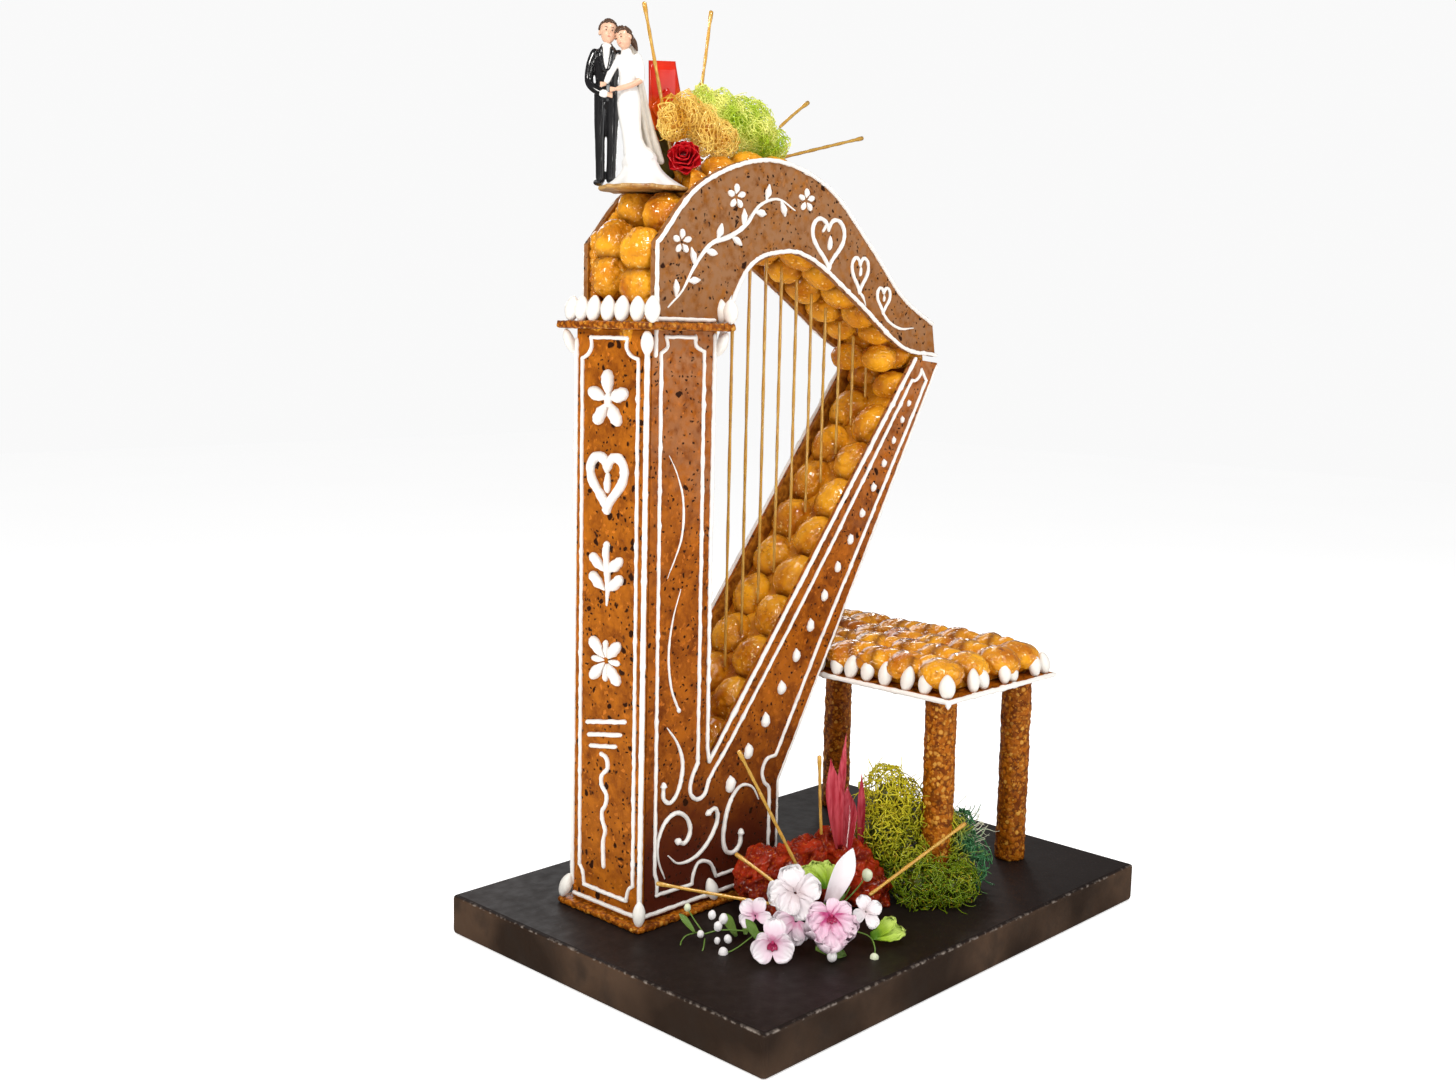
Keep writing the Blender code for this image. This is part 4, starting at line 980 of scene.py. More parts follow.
# Free strokes on the column and foot.
side_curls = [
    ([(-195, 495), (-184, 476), (-176, 450), (-178, 415), (-195, 379)], 2.6,
     True, True, 0),
    ([(-177, 367), (-187, 339), (-192, 306), (-188, 273), (-177, 248)], 2.6,
     True, False, 4.6),
    ([(-192, 234), (-178, 216), (-171, 195), (-175, 172), (-186, 159),
      (-196, 165), (-196, 178)], 4.4, True, False, 7.6),
    ([(-192, 84), (-201, 104), (-202, 124), (-193, 141), (-178, 147),
      (-164, 139), (-159, 125), (-166, 114), (-176, 118)], 4.6, True, False,
     8.0),
    ([(-188, 106), (-174, 95), (-152, 96), (-133, 108), (-121, 127),
      (-124, 140), (-135, 137)], 4.6, True, False, 7.0),
    ([(-60, 136), (-70, 151), (-86, 156), (-99, 148), (-108, 131),
      (-112, 108), (-108, 93), (-98, 88), (-88, 94), (-86, 108)], 5.0, True,
     False, 8.0),
]
# Drops down the slanted panel, larger towards the foot.
drop_line = [(168, 537), (142, 495), (94, 423), (55, 367), (-2, 288),
             (-49, 224), (-104, 160)]
# The neck: a leafy garland with three blossoms, then three hearts.
garland = [(-200, 632), (-182, 648), (-166, 672), (-146, 692), (-122, 700),
           (-100, 712), (-80, 732), (-54, 740), (-28, 731)]
garland_leaves = [(0.06, 1), (0.16, -1), (0.24, 1), (0.33, -1), (0.42, 1),
                  (0.51, -1), (0.60, 1), (0.70, -1), (0.79, 1), (0.89, -1)]
neck_blossoms = [(-184, 692), (-113, 738), (-12, 742)]
neck_hearts = [(heart((24, 701), 50, 50, -0.05), 4.4),
               (heart((76, 672), 27, 36, 0.0), 3.8),
               (heart((117, 647), 22, 27, 0.0), 3.6)]
neck_tails = [([(76, 655), (83, 649), (88, 641)], 3.0),
              ([(117, 634), (128, 625), (148, 618), (172, 619)], 3.2)]
neck_tears = [tear((26, 702), 5.4, 14, 0.1), tear((17, 716), 3.6, 8, 0.5),
              tear((77, 676), 4.0, 10, 0.1), tear((118, 650), 3.2, 8, 0.1)]


def edge_line(route, face, inset, width, seed):
    """A bead along a panel's cut edge, set a little way in."""
    flat = []
    for i, spot in enumerate(route):
        before = route[max(i - 1, 0)]
        after = route[min(i + 1, len(route) - 1)]
        way = (after - before).normalized()
        inward = Vector((way.y, -way.x))
        flat.append(tuple((spot + inward * inset) * 1000))
    return stroke(flat, face, width, seed=seed, straight=True)


for side, face in (("near", near_face), ("far", far_face)):
    strokes = []
    for i, (points, width, straight) in enumerate(side_lines):
        strokes.append(stroke(points, face, width / 1000, seed=i,
                              straight=straight))
    for i, (points, width, thin_a, thin_b, blob) in enumerate(side_curls):
        strokes.append(stroke(points, face, width / 1000, thin_a, thin_b,
                              30 + i, blob=blob / 1000))
    drops = smooth_route([Vector(p) / 1000 for p in drop_line], 0.0005)
    reach = sum((b - a).length for a, b in zip(drops, drops[1:]))
    for i in range(15):
        share = (i / 14) ** 1.18
        centre, way = along(drops, reach * share)
        wide = 0.0050 + 0.0060 * share
        points, wide = tear((centre.x * 1000, centre.y * 1000), wide * 1000,
                            (0.0068 + 0.0092 * share) * 1000, 0.10)
        strokes.append(stroke(points, face, wide / 1000, thin_end=True,
                              seed=60 + i))
    bm = tubes(f"icing_{side}_side", strokes)
    roughen(bm, 0.006, 0.00022, 3)
    finish_piece(f"icing_{side}_side", bm, icing, "petal")

    strokes = [edge_line(front_route, face, 0.0022, 0.0042, 1),
               edge_line(lower_route, face, 0.0020, 0.0042, 2),
               stroke([(-212, 621), (-139, 621)], face, 0.0042, seed=3,
                      straight=True)]
    strokes.append(stroke(garland, face, 0.0050, True, True, 80))
    stem = smooth_route([Vector(point) for point in garland], 2.0)
    stem_length = sum((b - a).length for a, b in zip(stem, stem[1:]))
    for i, (share, hand) in enumerate(garland_leaves):
        foot, way = along(stem, stem_length * share)
        way = way.normalized()
        aside = Vector((-way.y, way.x)) * hand
        leaf = (way * 0.62 + aside * 0.80) * 17
        strokes.append(stroke([foot + leaf * reach
                               for reach in (0.12, 0.45, 0.8, 1.0)], face,
                              0.0074, True, True, 82 + i))
    for i, centre in enumerate(neck_blossoms):
        for petal in range(5):
            turn = math.radians(90 + 72 * petal)
            away = Vector((math.cos(turn), math.sin(turn))) * 9
            strokes.append(stroke([Vector(centre) + away * reach
                                   for reach in (0.35, 0.7, 1.0)], face,
                                  0.0058, True, seed=100 + 5 * i + petal))
    for i, (points, width) in enumerate(neck_hearts):
        strokes.append(stroke(points, face, width / 1000, seed=90 + i))
    for i, (points, width) in enumerate(neck_tails):
        strokes.append(stroke(points, face, width / 1000, seed=95 + i,
                              thin_end=True))
    for i, (points, width) in enumerate(neck_tears):
        strokes.append(stroke(points, face, width / 1000, thin_end=True,
                              seed=100 + i))
    bm = tubes(f"icing_{side}_neck", strokes)
    roughen(bm, 0.006, 0.00022, 4)
    finish_piece(f"icing_{side}_neck", bm, icing, "petal")

# The column's front: a bordered field with four thick motifs, three bars and
# a wavy line below them.
front_lines = [
    ([(107, 583), (106, 330), (105, 84)], 3.8, True),
    ([(29, 584), (28, 330), (27, 82)], 3.8, True),
    ([(95, 603), (44, 603)], 3.8, True),
    ([(95, 603), (94, 594), (99, 587), (107, 583)], 3.8, False),
    ([(44, 603), (45, 594), (39, 587), (29, 584)], 3.8, False),
    ([(105, 84), (100, 78), (98, 66)], 3.8, False),
    ([(27, 82), (33, 77), (36, 66)], 3.8, False),
    ([(98, 65), (36, 65)], 4.2, True),
    ([(113, 52.5), (24, 52.5)], 4.4, True),
    ([(95, 231), (41, 241)], 4.6, True),
    ([(93, 219), (47, 227)], 4.4, True),
    ([(90, 208), (54, 214)], 4.2, True),
]
front_wave = [(74, 203), (66, 200), (65, 190), (73, 182), (73, 172), (66, 164),
              (67, 154), (72, 146), (71, 136), (67, 128), (70, 116), (69, 91)]


def thick_petal(centre, length, angle, width, seed):
    """A fat stroke that starts at a centre and swells outwards."""
    turn = math.radians(angle)
    away = (math.cos(turn), math.sin(turn))
    points = [(centre[0] + away[0] * length * s, centre[1]
               + away[1] * length * s) for s in (0.22, 0.6, 1.0)]
    return stroke(points, front_face, width, thin_start=True, seed=seed)


strokes = []
for i, (points, width, straight) in enumerate(front_lines):
    strokes.append(stroke(points, front_face, width / 1000, seed=200 + i,
                          straight=straight))
strokes.append(stroke(front_wave, front_face, 0.0044, seed=220))
blossom, bow, star = (69, 545), (69, 467), (69, 296)
for i in range(5):
    strokes.append(thick_petal(blossom, 22, 90 + 72 * i, 0.0125, 230 + i))
strokes.append(stroke([(69, 542), (69, 548)], front_face, 0.0080, seed=236))
strokes.append(stroke(heart(bow, 48, 50, 0.0), front_face, 0.0095, seed=240))
strokes.append(stroke(tear(bow, 7.5, 20)[0], front_face, 0.0075,
                      thin_end=True, seed=241))
strokes.append(stroke([(69, 350), (67, 372), (70, 398), (69, 408)], front_face,
                      0.0072, thin_start=True, seed=245))
for i, (up, angle) in enumerate(((362, 38), (362, 142), (380, 38), (380, 142))):
    strokes.append(thick_petal((69, up), 23, angle, 0.0105, 250 + i))
for i in range(4):
    strokes.append(thick_petal(star, 24, 45 + 90 * i, 0.0110, 260 + i))
for i in range(4):
    strokes.append(thick_petal(star, 17, 90 * i, 0.0062, 265 + i))
bm = tubes("icing_front", strokes, 3)
roughen(bm, 0.006, 0.00025, 5)
finish_piece("icing_front", bm, icing, "petal")

# Beads over the column's two front corners, on the soundbox's back and round
# the stool's plate, with a drop at its near corner.
strokes = []
corner_sides = ((column_front_x, near_y, -1, -1), (column_front_x, far_y, -1, 1))
for i, (x, y, out_x, out_y) in enumerate(corner_sides):
    def corner_face(across, up, lift, x=x, y=y, out_x=out_x, out_y=out_y):
        """Place on an upright corner, leaning out both ways."""
        return Vector((x + out_x * (lift * 0.6 - 0.0006),
                       y + out_y * (lift * 0.6 - 0.0006), up))
    strokes.append(stroke([(0, 600), (0, 330), (0, 62)], corner_face, 0.0050,
                          seed=300 + i, straight=True))
back_way = (box_top_out - knee).normalized()
back_out = Vector((back_way.y, -back_way.x))


def back_face(across, up, lift):
    """Place on the slanted back: across is world Y, up runs along it."""
    spot = knee + back_way * up + back_out * lift
    return Vector((spot.x, across, spot.y))


def foot_face(across, up, lift):
    """Place on the upright back of the foot."""
    return Vector((knee.x + lift, across, up))


back_length = (box_top_out - knee).length * 1000
for y in (near_y * 1000 + 9, far_y * 1000 - 9):
    strokes.append(stroke([(y, 12), (y, back_length - 12)], back_face, 0.0038,
                          seed=int(y), straight=True))
    strokes.append(stroke([(y, 62), (y, 140)], foot_face, 0.0038,
                          seed=int(y) + 1, straight=True))
for up in (12, back_length - 12):
    strokes.append(stroke([(near_y * 1000 + 9, up), (far_y * 1000 - 9, up)],
                          back_face, 0.0038, seed=int(up), straight=True))
for up in (62, 140):
    strokes.append(stroke([(near_y * 1000 + 9, up), (far_y * 1000 - 9, up)],
                          foot_face, 0.0038, seed=up, straight=True))
middle = middle_y * 1000
wave = [(middle + 9 * math.sin(i * 0.9), 40 + i * (back_length - 80) / 30)
        for i in range(31)]
strokes.append(stroke(wave, back_face, 0.0042, seed=310))


def rim_face(across, up, lift):
    """Place on the stool plate's rim, seen from above."""
    return Vector((across, up, (stool_low.z + stool_high.z) / 2 - 0.0003))


left, right = stool_low.x * 1000 - 0.6, stool_high.x * 1000 + 0.6
near, far = stool_low.y * 1000 - 0.6, stool_high.y * 1000 + 0.6
for i, points in enumerate(([(left, near), (right, near)],
                            [(right, near), (right, far)],
                            [(right, far), (left, far)],
                            [(left, far), (left, near)])):
    strokes.append(stroke(points, rim_face, 0.0054, seed=320 + i,
                          straight=True))
drop = Vector((stool_low.x, stool_low.y, stool_low.z + 0.001))
strokes.append([(drop + Vector((0, 0, 0.002)), 0.0024), (drop, 0.0036),
                (drop - Vector((0, 0, 0.0035)), 0.0027),
                (drop - Vector((0, 0, 0.0062)), 0.0008)])
bm = tubes("icing_edges", strokes)
roughen(bm, 0.006, 0.00022, 6)
finish_piece("icing_edges", bm, icing, "petal")


# --------------------------------------------------------- sugared almonds
# Almonds in a hard white sugar coat: a row stands along the capital, more
# close its corners and the foot's, and a ring of them rims the stool.

almond_coat, tree, shader, place = new_material(
    "almond_coat", Roughness=0.34, Coat_Weight=0.35, Coat_Roughness=0.15,
    Specular_IOR_Level=0.3)
powder = use_group(tree, hand_made, Vector=place, Size=45.0)
tree.links.new(mix(tree, powder.outputs["Clouds"], (0.80, 0.75, 0.67),
                   (0.93, 0.91, 0.87)), shader.inputs["Base Color"])
bumped(tree, shader, powder.outputs["Clouds"], 0.20, 0.0012)


def add_almond(bm, centre, tip, face, length, width, thick):
    """One almond: long axis towards its tip, flat side towards face."""
    tip = Vector(tip).normalized()
    across = tip.cross(Vector(face)).normalized()
    out = across.cross(tip)
    turn = Matrix((across, out, tip)).transposed().to_4x4()
    made = bmesh.ops.create_icosphere(bm, subdivisions=3, radius=1.0)
    for vert in made["verts"]:
        pinch = 1.0 - 0.30 * max(0.0, vert.co.z) ** 1.6 \
            + 0.04 * min(0.0, vert.co.z)
        vert.co = Vector((vert.co.x * pinch * width / 2,
                          vert.co.y * pinch * thick / 2,
                          vert.co.z * length / 2))
    bmesh.ops.transform(bm, verts=made["verts"],
                        matrix=Matrix.Translation(centre) @ turn)


bm = bmesh.new()
dice = random.Random(31)
capital_low, capital_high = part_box("capital_plate")
stand = capital_high.z + 0.0112
for across in (0.115, 0.101, 0.084, 0.064, 0.045, 0.024, 0.0045):
    lean = dice.uniform(-0.10, 0.10)
    add_almond(bm, (capital_low.x + 0.0068, across, stand),
               (0.10, lean, 1.0), (1, 0, 0), 0.0250 + dice.uniform(-1, 1) * 0.001,
               0.0176 + dice.uniform(-1, 1) * 0.0008, 0.0122)
for across in (0.0060, 0.0190, 0.0400, 0.0600, 0.0800, 0.1000, 0.1160):
    add_almond(bm, (capital_high.x - 0.0062, across, stand),
               (-0.08, dice.uniform(-0.12, 0.12), 1.0), (1, 0, 0), 0.0240,
               0.0170, 0.0115)
for x, out_x in ((column_front_x, -1), (column_back_x, 1)):
    for y, out_y in ((near_y, -1), (far_y, 1)):
        corner = Vector((x + out_x * 0.0048, y + out_y * 0.0048,
                         capital_low.z - 0.0125))
        add_almond(bm, corner, (-out_x * 0.26, -out_y * 0.26, -1.0),
                   (out_x, out_y, 0), 0.0245, 0.0120, 0.0105)
foot_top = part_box("foot_plate")[1].z
add_almond(bm, (column_front_x - 0.0050, far_y + 0.0040, foot_top + 0.0120),
           (0.20, -0.30, 1.0), (-1, 0.4, 0), 0.0260, 0.0150, 0.0120)
add_almond(bm, (column_front_x - 0.0042, near_y - 0.0042, foot_top + 0.0115),
           (0.12, 0.10, 1.0), (-1, -1, 0), 0.0250, 0.0125, 0.0105)
add_almond(bm, (column_back_x + 0.0060, near_y - 0.0052, foot_top + 0.0120),
           (-0.25, 0.20, 1.0), (0, -1, 0.1), 0.0240, 0.0140, 0.0115)
add_almond(bm, (knee.x + 0.0042, near_y - 0.0042, foot_top + 0.0115),
           (-0.12, 0.10, 1.0), (1, -1, 0), 0.0250, 0.0125, 0.0105)
add_almond(bm, (knee.x + 0.0042, far_y + 0.0042, foot_top + 0.0115),
           (-0.12, -0.10, 1.0), (1, 1, 0), 0.0250, 0.0125, 0.0105)
seat = stool_high.z + 0.0108
rim = 0.0072
rim_places = []
for across in (0.1560, 0.1330, 0.1110, 0.0880, 0.0650, 0.0400, 0.0150, -0.0045,
               -0.0265, -0.0500, -0.0790, -0.1020):
    rim_places.append((stool_low.x + rim, across, (1, 0, 0),
                       0.12 * math.sin(across * 500)))
rim_places.append((stool_low.x + rim, stool_low.y + rim, (1, 1, 0), 0.0))
for along_x, lean in ((0.1020, 0.14), (0.1180, -0.30), (0.1590, 0.20),
                      (0.1720, -0.26), (0.2160, 0.05), (0.2340, -0.20)):
    rim_places.append((along_x, stool_low.y + rim, (0, 1, 0), lean))
for i in range(13):
    rim_places.append((stool_high.x - rim, stool_low.y + 0.026 + i * 0.0218,
                       (-1, 0, 0), dice.uniform(-0.2, 0.2)))
for i in range(7):
    rim_places.append((stool_low.x + 0.026 + i * 0.0240, stool_high.y - rim,
                       (0, -1, 0), dice.uniform(-0.2, 0.2)))
for x, y, inward, lean in rim_places:
    inward = Vector(inward).normalized()
    sideways = Vector((inward.y, inward.x, 0))
    tip = Vector((0, 0, 1)) + inward * 0.16 + sideways * lean
    add_almond(bm, (x, y, seat), tip, inward,
               0.0258 + dice.uniform(-1, 1) * 0.0018,
               0.0164 + dice.uniform(-1, 1) * 0.0010, 0.0122)
finish_piece("almonds", bm, almond_coat, "petal")


# ------------------------------------------------------- wafer and couple
# A round baked wafer with a gilded, wavy rim lies on the top puffs. The bride
# and groom on it are one painted sugar figure, cast and then dressed in glaze.

cut_rim, tree, shader, place = new_material(
    "gilded_wafer", Roughness=0.35, Coat_Weight=0.5, Coat_Roughness=0.15)
baked = use_group(tree, hand_made, Vector=place, Size=70.0)
tone = mix(tree, ramp(tree, baked.outputs["Clouds"], 0.35, 0.65),
           (0.30, 0.115, 0.018), (0.56, 0.34, 0.11))
tree.links.new(mix(tree, ramp(tree, baked.outputs["Grain"], 0.60, 0.72), tone,
                   (0.74, 0.56, 0.27)), shader.inputs["Base Color"])
bumped(tree, shader, baked.outputs["Grain"], 0.5, 0.0008)

bm = bmesh.new()
bmesh.ops.create_cone(bm, cap_ends=True, segments=120,
                      radius1=wafer_reach - 0.002,
                      radius2=wafer_reach - 0.002,
                      depth=wafer_high.z - wafer_low.z)
rims = [edge for edge in bm.edges
        if abs(edge.verts[0].co.z - edge.verts[1].co.z) < 1e-6]
bmesh.ops.bevel(bm, geom=rims, offset=0.0013, offset_type="OFFSET",
                affect="EDGES", segments=3, profile=0.5, material=-1)
for vert in bm.verts:
    angle = math.atan2(vert.co.y, vert.co.x)
    wave = 0.0011 * math.sin(17 * angle) + 0.0007 * math.sin(29 * angle + 1)
    spread = vert.co.xy.length / wafer_reach
    vert.co.x *= 1.0 + wave / wafer_reach * spread
    vert.co.y *= 1.0 + wave / wafer_reach * spread
    vert.co.z += 0.0005 * math.sin(11 * angle) * spread
bmesh.ops.translate(bm, verts=bm.verts, vec=wafer_middle)
roughen(bm, 0.004, 0.0002, 7)
finish_piece("couple_wafer_disc", bm, cut_rim, "nougatine", "couple_wafer")


def painted(name, low, high, rough, coat):
    """Glossy food paint, a little uneven."""
    made, tree, shader, place = new_material(
        name, Roughness=rough, Coat_Weight=coat, Coat_Roughness=0.12,
        Specular_IOR_Level=0.3)
    uneven = use_group(tree, hand_made, Vector=place, Size=160.0)
    tree.links.new(mix(tree, uneven.outputs["Clouds"], low, high),
                   shader.inputs["Base Color"])
    bumped(tree, shader, uneven.outputs["Clouds"], 0.12, 0.0006)
    return made


suit_black = painted("paint_black", (0.004, 0.004, 0.005),
                     (0.012, 0.011, 0.012), 0.22, 0.9)
gown_white = painted("paint_white", (0.78, 0.76, 0.73), (0.86, 0.85, 0.83),
                     0.35, 0.3)
veil_cream = painted("paint_cream", (0.56, 0.50, 0.42), (0.74, 0.69, 0.62),
                     0.45, 0.2)
skin_tone = painted("paint_skin", (0.70, 0.39, 0.25), (0.80, 0.50, 0.35),
                    0.42, 0.3)
hair_brown = painted("paint_hair", (0.050, 0.024, 0.013),
                     (0.115, 0.058, 0.033), 0.38, 0.4)
lip_rose = painted("paint_lips", (0.50, 0.13, 0.10), (0.58, 0.18, 0.14), 0.4,
                   0.3)

figure_scale = 1.0374
pair_front = Vector((-0.72, -0.69, 0.0)).normalized()
pair_across = Vector((0.69, -0.72, 0.0)).normalized()
pair_turn = Matrix((pair_across, -pair_front, (0, 0, 1))).transposed()
pair_place = (Matrix.Translation((wafer_middle.x, wafer_middle.y,
                                  wafer_high.z + 0.0002))
              @ pair_turn.to_4x4() @ Matrix.Scale(figure_scale, 4))
groom_x, bride_x = -0.0345, -0.0155


def fuse(bm, voxel, softened):
    """Melt overlapping shapes into one skin and smooth it."""
    mesh = bpy.data.meshes.new("melt")
    bm.to_mesh(mesh)
    bm.free()
    carrier = bpy.data.objects.new("melt", mesh)
    bpy.context.scene.collection.objects.link(carrier)
    melt = carrier.modifiers.new("melt", "REMESH")
    melt.mode = "VOXEL"
    melt.voxel_size = voxel
    soft = carrier.modifiers.new("soft", "SMOOTH")
    soft.factor = 0.5
    soft.iterations = softened
    bpy.context.view_layer.update()
    done = bpy.data.meshes.new_from_object(
        carrier.evaluated_get(bpy.context.evaluated_depsgraph_get()))
    bpy.data.objects.remove(carrier)
    bpy.data.meshes.remove(mesh)
    bm = bmesh.new()
    bm.from_mesh(done)
    bpy.data.meshes.remove(done)
    return bm


def add_limb(bm, route, flat=1.0):
    """A round limb through (x, y, z, radius) stations, flattened in Y."""
    places = [Vector(station[:3]) for station in route]
    length = sum((b - a).length for a, b in zip(places, places[1:]))
    smooth = smooth_route(places, length / 40)
    radii = []
    for point in smooth:
        spans = sorted(range(len(places)),
                       key=lambda i: (places[i] - point).length)[:2]
        first, second = (places[i] for i in spans)
        near, away = (point - first).length, (point - second).length
        share = near / max(near + away, 1e-9)
        radii.append(route[spans[0]][3] * (1 - share)
                     + route[spans[1]][3] * share)
    made = tubes("limb", [list(zip(smooth, radii))], 6)
    for end, radius in ((smooth[0], radii[0]), (smooth[-1], radii[-1])):
        bmesh.ops.create_icosphere(made, subdivisions=2, radius=radius,
                                   matrix=Matrix.Translation(end))
    if flat != 1.0:
        middle = sum(places, Vector()) / len(places)
        for vert in made.verts:
            vert.co.y = middle.y + (vert.co.y - middle.y) * flat
    pour_in(bm, made)


def dress(name, bm, finish, voxel=0.00055, softened=4):
    """Melt one garment, put it in place and hand it over."""
    bm = fuse(bm, voxel, softened)
    bmesh.ops.transform(bm, verts=bm.verts, matrix=pair_place)
    finish_piece(name, bm, finish, "couple", "couple")


# Groom: trousers, shoes and an open tailcoat over a white shirt and cravat.
x = groom_x
bm = bmesh.new()
for side in (-1, 1):
    add_limb(bm, [(x + side * 0.0048, 0.0, 0.080, 0.0066),
                  (x + side * 0.0053, 0.0004, 0.058, 0.0058),
                  (x + side * 0.0054, -0.0003, 0.040, 0.0047),
                  (x + side * 0.0050, 0.0, 0.020, 0.0044),
                  (x + side * 0.0047, 0.0, 0.006, 0.0043)])
    add_limb(bm, [(x + side * 0.0050, 0.003, 0.0030, 0.0031),
                  (x + side * 0.0064, -0.004, 0.0031, 0.0034),
                  (x + side * 0.0078, -0.0095, 0.0024, 0.0026)])
dress("groom_trousers", bm, suit_black)

bm = bmesh.new()
add_limb(bm, [(x, 0.0005, 0.1165, 0.0088), (x, 0.0002, 0.110, 0.0118),
              (x, 0.0, 0.100, 0.0112), (x, 0.0004, 0.091, 0.0101),
              (x, 0.001, 0.083, 0.0110), (x, 0.0020, 0.074, 0.0116)], 0.66)
add_limb(bm, [(x - 0.0035, 0.0048, 0.080, 0.0058),
              (x - 0.0035, 0.0056, 0.062, 0.0050),
              (x - 0.0030, 0.0058, 0.050, 0.0026)], 0.5)
add_limb(bm, [(x + 0.0045, 0.0048, 0.080, 0.0058),
              (x + 0.0045, 0.0056, 0.062, 0.0050),
              (x + 0.0040, 0.0058, 0.050, 0.0026)], 0.5)
add_limb(bm, [(x - 0.0106, 0.0006, 0.1160, 0.0046),
              (x - 0.0142, 0.0008, 0.106, 0.0045),
              (x - 0.0158, 0.0004, 0.0925, 0.0041),
              (x - 0.0110, -0.0055, 0.0850, 0.0038),
              (x - 0.0020, -0.0098, 0.0800, 0.0031)])
add_limb(bm, [(x + 0.0106, 0.0010, 0.1155, 0.0045),
              (x + 0.0150, 0.0040, 0.1060, 0.0043),
              (x + 0.0200, 0.0080, 0.0960, 0.0036),
              (x + 0.0260, 0.0070, 0.0900, 0.0030)])
for side in (-1, 1):
    add_limb(bm, [(x + side * 0.0036, -0.0018, 0.1225, 0.0019),
                  (x + side * 0.0052, -0.0062, 0.1150, 0.0024),
                  (x + side * 0.0026, -0.0074, 0.1010, 0.0018)], 1.0)
dress("groom_coat", bm, suit_black)

bm = bmesh.new()
add_limb(bm, [(x, -0.0018, 0.1225, 0.0040), (x, -0.0042, 0.1150, 0.0040),
              (x, -0.0054, 0.1070, 0.0030), (x, -0.0056, 0.1000, 0.0014)])
for side in (-1, 1):
    add_limb(bm, [(x, -0.0050, 0.1200, 0.0015),
                  (x + side * 0.0030, -0.0046, 0.1218, 0.0014)])
    add_limb(bm, [(x, -0.0060, 0.1195, 0.0014),
                  (x + side * 0.0013, -0.0080, 0.1110, 0.0013)])
add_limb(bm, [(x - 0.0030, -0.0094, 0.0803, 0.0034),
              (x - 0.0008, -0.0102, 0.0797, 0.0034)])
dress("groom_shirt", bm, gown_white, 0.0004, 2)

# Bride: a gown tight to the knee and wide at its hem, with long sleeves.
x = bride_x
bm = bmesh.new()
add_limb(bm, [(x - 0.0018, 0.0, 0.1165, 0.0056), (x - 0.0012, 0.0, 0.110, 0.0092),
              (x - 0.0006, -0.0006, 0.104, 0.0088),
              (x - 0.0002, 0.0, 0.093, 0.0076), (x, 0.0, 0.084, 0.0098),
              (x + 0.0008, 0.0, 0.075, 0.0112), (x + 0.0020, 0.0, 0.063, 0.0105),
              (x + 0.0036, 0.0, 0.050, 0.0092), (x + 0.0052, 0.0, 0.040, 0.0092),
              (x + 0.0080, 0.0, 0.030, 0.0118), (x + 0.0118, 0.0, 0.020, 0.0172)],
         0.84)
skirt = bmesh.new()
bmesh.ops.create_cone(
    skirt, cap_ends=True, segments=96, radius1=0.0375, radius2=0.0165,
    depth=0.0215, matrix=Matrix.Translation((x + 0.0140, 0.0, 0.0110)))
bmesh.ops.subdivide_edges(
    skirt, edges=[edge for edge in skirt.edges
                  if abs(edge.verts[0].co.z - edge.verts[1].co.z) > 0.02],
    cuts=14, use_grid_fill=False)
for vert in skirt.verts:
    share = (vert.co.z - 0.00025) / 0.0215
    centre_x = x + 0.0170 - 0.0048 * share
    angle = math.atan2(vert.co.y, vert.co.x - centre_x)
    reach = 0.0165 + 0.0200 * (1.0 - share) ** 1.9
    fold = 1.0 + 0.045 * (1.0 - share) * math.sin(9 * angle + 0.7)
    vert.co.x = centre_x + math.cos(angle) * reach * fold
    vert.co.y = math.sin(angle) * reach * fold * 0.80
pour_in(bm, skirt)
add_limb(bm, [(x - 0.0088, -0.0004, 0.1130, 0.0038),
              (x - 0.0132, -0.0048, 0.1030, 0.0035),
              (x - 0.0182, -0.0094, 0.0905, 0.0026)])
add_limb(bm, [(x + 0.0084, 0.0, 0.1130, 0.0040),
              (x + 0.0112, -0.0008, 0.1030, 0.0038),
              (x + 0.0116, -0.0040, 0.0935, 0.0036)])
dress("bride_gown", bm, gown_white, 0.0006, 5)

bm = bmesh.new()
veil_rows = [(0.1235, 0.0030, 0.0028, 0.0070), (0.110, 0.0034, 0.0042, 0.0076),
             (0.093, 0.0060, 0.0058, 0.0092), (0.072, 0.0090, 0.0074, 0.0104),
             (0.052, 0.0126, 0.0092, 0.0112), (0.036, 0.0160, 0.0110, 0.0110),
             (0.024, 0.0185, 0.0120, 0.0100)]
for i in range(7):
    spread = (i - 3) / 3
    add_limb(bm, [(x + shift + spread * half, back + 0.0022 * math.cos(i * 2.4),
                   up, 0.0016 + 0.0014 * (0.1235 - up) / 0.1)
                  for up, shift, half, back in veil_rows])
dress("bride_veil", bm, veil_cream, 0.0007, 4)


